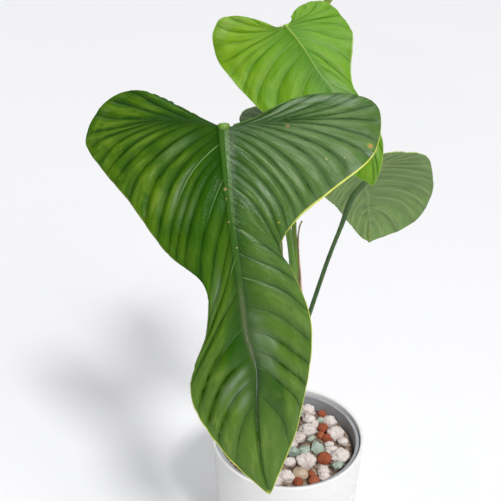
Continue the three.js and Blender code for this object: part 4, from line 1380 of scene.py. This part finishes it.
def modelStone(kind, variant):      # a ball of about unit size, lumped and pitted
    shape = stoneKinds[kind]
    clearSelection()
    bpy.ops.mesh.primitive_ico_sphere_add(subdivisions=shape["level"], radius=1)
    stone = freshShape(f"{kind}Model{variant}")
    for name, texture in (("lumps", "CLOUDS"), ("pits", "VORONOI")):
        strength, size = shape[name]
        pattern = bpy.data.textures.new(f"{kind}{name}{variant}", texture)
        pattern.noise_scale = size
        anchor = bpy.data.objects.new(f"{kind}{name}Anchor", None)
        scene.collection.objects.link(anchor)
        anchor.location = (variant * 3.1 + len(kind), variant * 1.7, 2.3 * variant)
        push = stone.modifiers.new(name, "DISPLACE")
        push.texture = pattern
        push.texture_coords = "OBJECT"
        push.texture_coords_object = anchor
        push.strength = strength * 2
        push.mid_level = 0.5
        bpy.context.view_layer.update()
        applyAll(stone)
        bpy.data.objects.remove(anchor)
    if kind == "zeolite":      # broken faces
        for cut in range(stoneModels["cuts"]):
            pick(stone)
            bpy.ops.object.mode_set(mode="EDIT")
            bpy.ops.mesh.select_all(action="SELECT")
            turn = cut * 2.4 + variant
            normal = Vector((math.cos(turn), math.sin(turn), 0.9 * math.sin(turn * 1.7))).normalized()
            bpy.ops.mesh.bisect(plane_co=normal * stoneModels["cutAt"], plane_no=normal, use_fill=True,
                                clear_outer=True)
            bpy.ops.object.mode_set(mode="OBJECT")
    return stone


def placeStone(stone, x, y, size, seed, flat):      # turned, tipped and squashed, half sunk into the bed
    half = size / 2 * mm
    z = (bed["top"] + 0.1 * size + bed["bump"] * scatter(seed + 1)) * mm
    turn = Matrix.Rotation(scatter(seed + 9) * 2 * math.pi, 4, "Z")
    tip = Matrix.Rotation((scatter(seed + 5) - 0.5) * 0.7, 4, "X")
    grow = Matrix.Diagonal((half * 1.08, half * (0.82 + 0.22 * scatter(seed + 3)), half * flat, 1))
    stone.data.transform(Matrix.Translation((x * mm, y * mm, z)) @ turn @ tip @ grow)


def buildStones():
    count = stoneModels["variants"]
    models = {kind: [modelStone(kind, variant) for variant in range(count)] for kind in stoneKinds}
    groups = {kind: [] for kind in stoneKinds}
    for index, (x, y, size, seed, kind) in enumerate(bedStones()):
        stone = bpy.data.objects.new(f"{kind}{index}", models[kind][index % count].data.copy())
        scene.collection.objects.link(stone)
        placeStone(stone, x, y, size, seed, stoneKinds[kind]["flat"])
        groups[kind].append(stone)
    for kind, stones in groups.items():
        for model in models[kind]:
            bpy.data.objects.remove(model)
        group = joined(f"{kind}Stones", stones)
        smoothShade(group, 180 if kind != "zeolite" else 35)
        finishPiece(group, "substrate", [stonePaint(kind)])
        print(f"{group.name}: {len(stones)} stones, {len(group.data.polygons)} faces")


def groundPaint():
    look = bed["colours"]
    paint = newPaint("groundGrit", 0.9, specular=0.2)
    stops = [(0.35, look["dark"]), (0.5, look["body"]), (0.65, look["light"])]
    colour = ramp(paint, grain(paint, 240, 4), stops)
    rough = bumps(paint, cells(paint, objectPlace(paint), 420), 0.001, 0.8)
    return finishPaint(paint, colour, bumps(paint, grain(paint, 900, 4), 0.0004, 0.7, rough))


def buildGround():      # the filled bed under the loose top layer, with a well for the stem
    top, foot = bed["top"], bed["foot"]
    profile = [(0, foot), (bed["footRadius"], foot), (bedRadius, top - bed["edgeDrop"])]
    profile += [(radius, top) for radius in (bedRadius - bed["edgeInset"], *bed["innerRings"], 0)]
    ground = spunPiece("substrateGround", profile, bed["sides"])
    middle = (bed["stemX"], bed["stemY"], bed["stemFoot"] + top / 2)
    well = rod(bed["wellSides"], bed["stemRadius"] + bed["wellGap"], top, middle)
    cutAway(ground, well)
    smoothShade(ground, 40)
    finishPiece(ground, "substrate", [groundPaint()])


buildStones()
buildGround()
print("substrate done")


studio = {
    "floorSize": 12, "floorColour": (0.835, 0.835, 0.845), "floorUneven": 0.985,
    "worldColour": (0.93, 0.95, 1.0), "worldStrength": 0.15, "backdropStrength": 0.85, "exposure": 0.0,
    # suns: direction they shine from, strength, and how wide they look in degrees
    "suns": {"keySun": ((0.27, -0.60, 0.75), 1.85, 9), "topSun": ((0.10, 0.25, 1.0), 1.60, 55)},
    "softbox": {"watts": 5, "size": 0.36, "place": (0.56, -0.96, 1.33), "aim": (-0.03, -0.15, 0.38)},
}
viewPoint = {
    "place": (-0.0345, -0.605, 0.661), "down": 29.1, "focal": 850, "frame": 501, "sensor": 36, "near": 0.01,
}


def addLight(name, kind, energy, direction):
    lamp = bpy.data.lights.new(name, kind)
    lamp.energy = energy
    holder = bpy.data.objects.new(name, lamp)
    scene.collection.objects.link(holder)
    holder.rotation_euler = direction.to_track_quat("-Z", "Y").to_euler()
    return holder


def buildFloor():
    clearSelection()
    bpy.ops.mesh.primitive_plane_add(size=studio["floorSize"], location=(0, 0, 0))
    floor = freshShape("studioFloor")
    paint = newPaint("paleFloor", 0.85, specular=0.2)
    darker, pale = shades(studio["floorColour"], studio["floorUneven"], 1)
    colour = ramp(paint, grain(paint, 2.2, 2), [(0.3, darker), (0.7, pale)])
    floor.data.materials.append(finishPaint(paint, colour))


def buildRoom():      # bright where the camera sees it, dim where it lights
    world = bpy.data.worlds.new("paleRoom")
    scene.world = world
    world.use_nodes = True
    backdrop = world.node_tree.nodes["Background"]
    backdrop.inputs["Color"].default_value = (*studio["worldColour"], 1)
    seen = world.node_tree.nodes.new("ShaderNodeLightPath")
    level = world.node_tree.nodes.new("ShaderNodeMapRange")
    level.inputs["To Min"].default_value = studio["worldStrength"]
    level.inputs["To Max"].default_value = studio["backdropStrength"]
    world.node_tree.links.new(seen.outputs["Is Camera Ray"], level.inputs["Value"])
    world.node_tree.links.new(level.outputs["Result"], backdrop.inputs["Strength"])


def buildLights():
    for name, (source, strength, spread) in studio["suns"].items():
        sun = addLight(name, "SUN", strength, -Vector(source))
        sun.data.angle = math.radians(spread)
    look = studio["softbox"]
    place = Vector(look["place"])
    softbox = addLight("softbox", "AREA", look["watts"], Vector(look["aim"]) - place)
    softbox.data.shape = "SQUARE"
    softbox.data.size = look["size"]
    softbox.location = place


def buildCamera():
    lens = bpy.data.cameras.new("photoCamera")
    lens.sensor_width = viewPoint["sensor"]
    lens.lens = viewPoint["focal"] / viewPoint["frame"] * viewPoint["sensor"]
    lens.clip_start = viewPoint["near"]
    camera = bpy.data.objects.new("photoCamera", lens)
    scene.collection.objects.link(camera)
    camera.location = viewPoint["place"]
    camera.rotation_euler = (math.radians(90 - viewPoint["down"]), 0, 0)
    scene.camera = camera
    scene.view_settings.view_transform = "Standard"
    scene.view_settings.exposure = studio["exposure"]


buildFloor()
buildRoom()
buildLights()
buildCamera()
print("studio done")
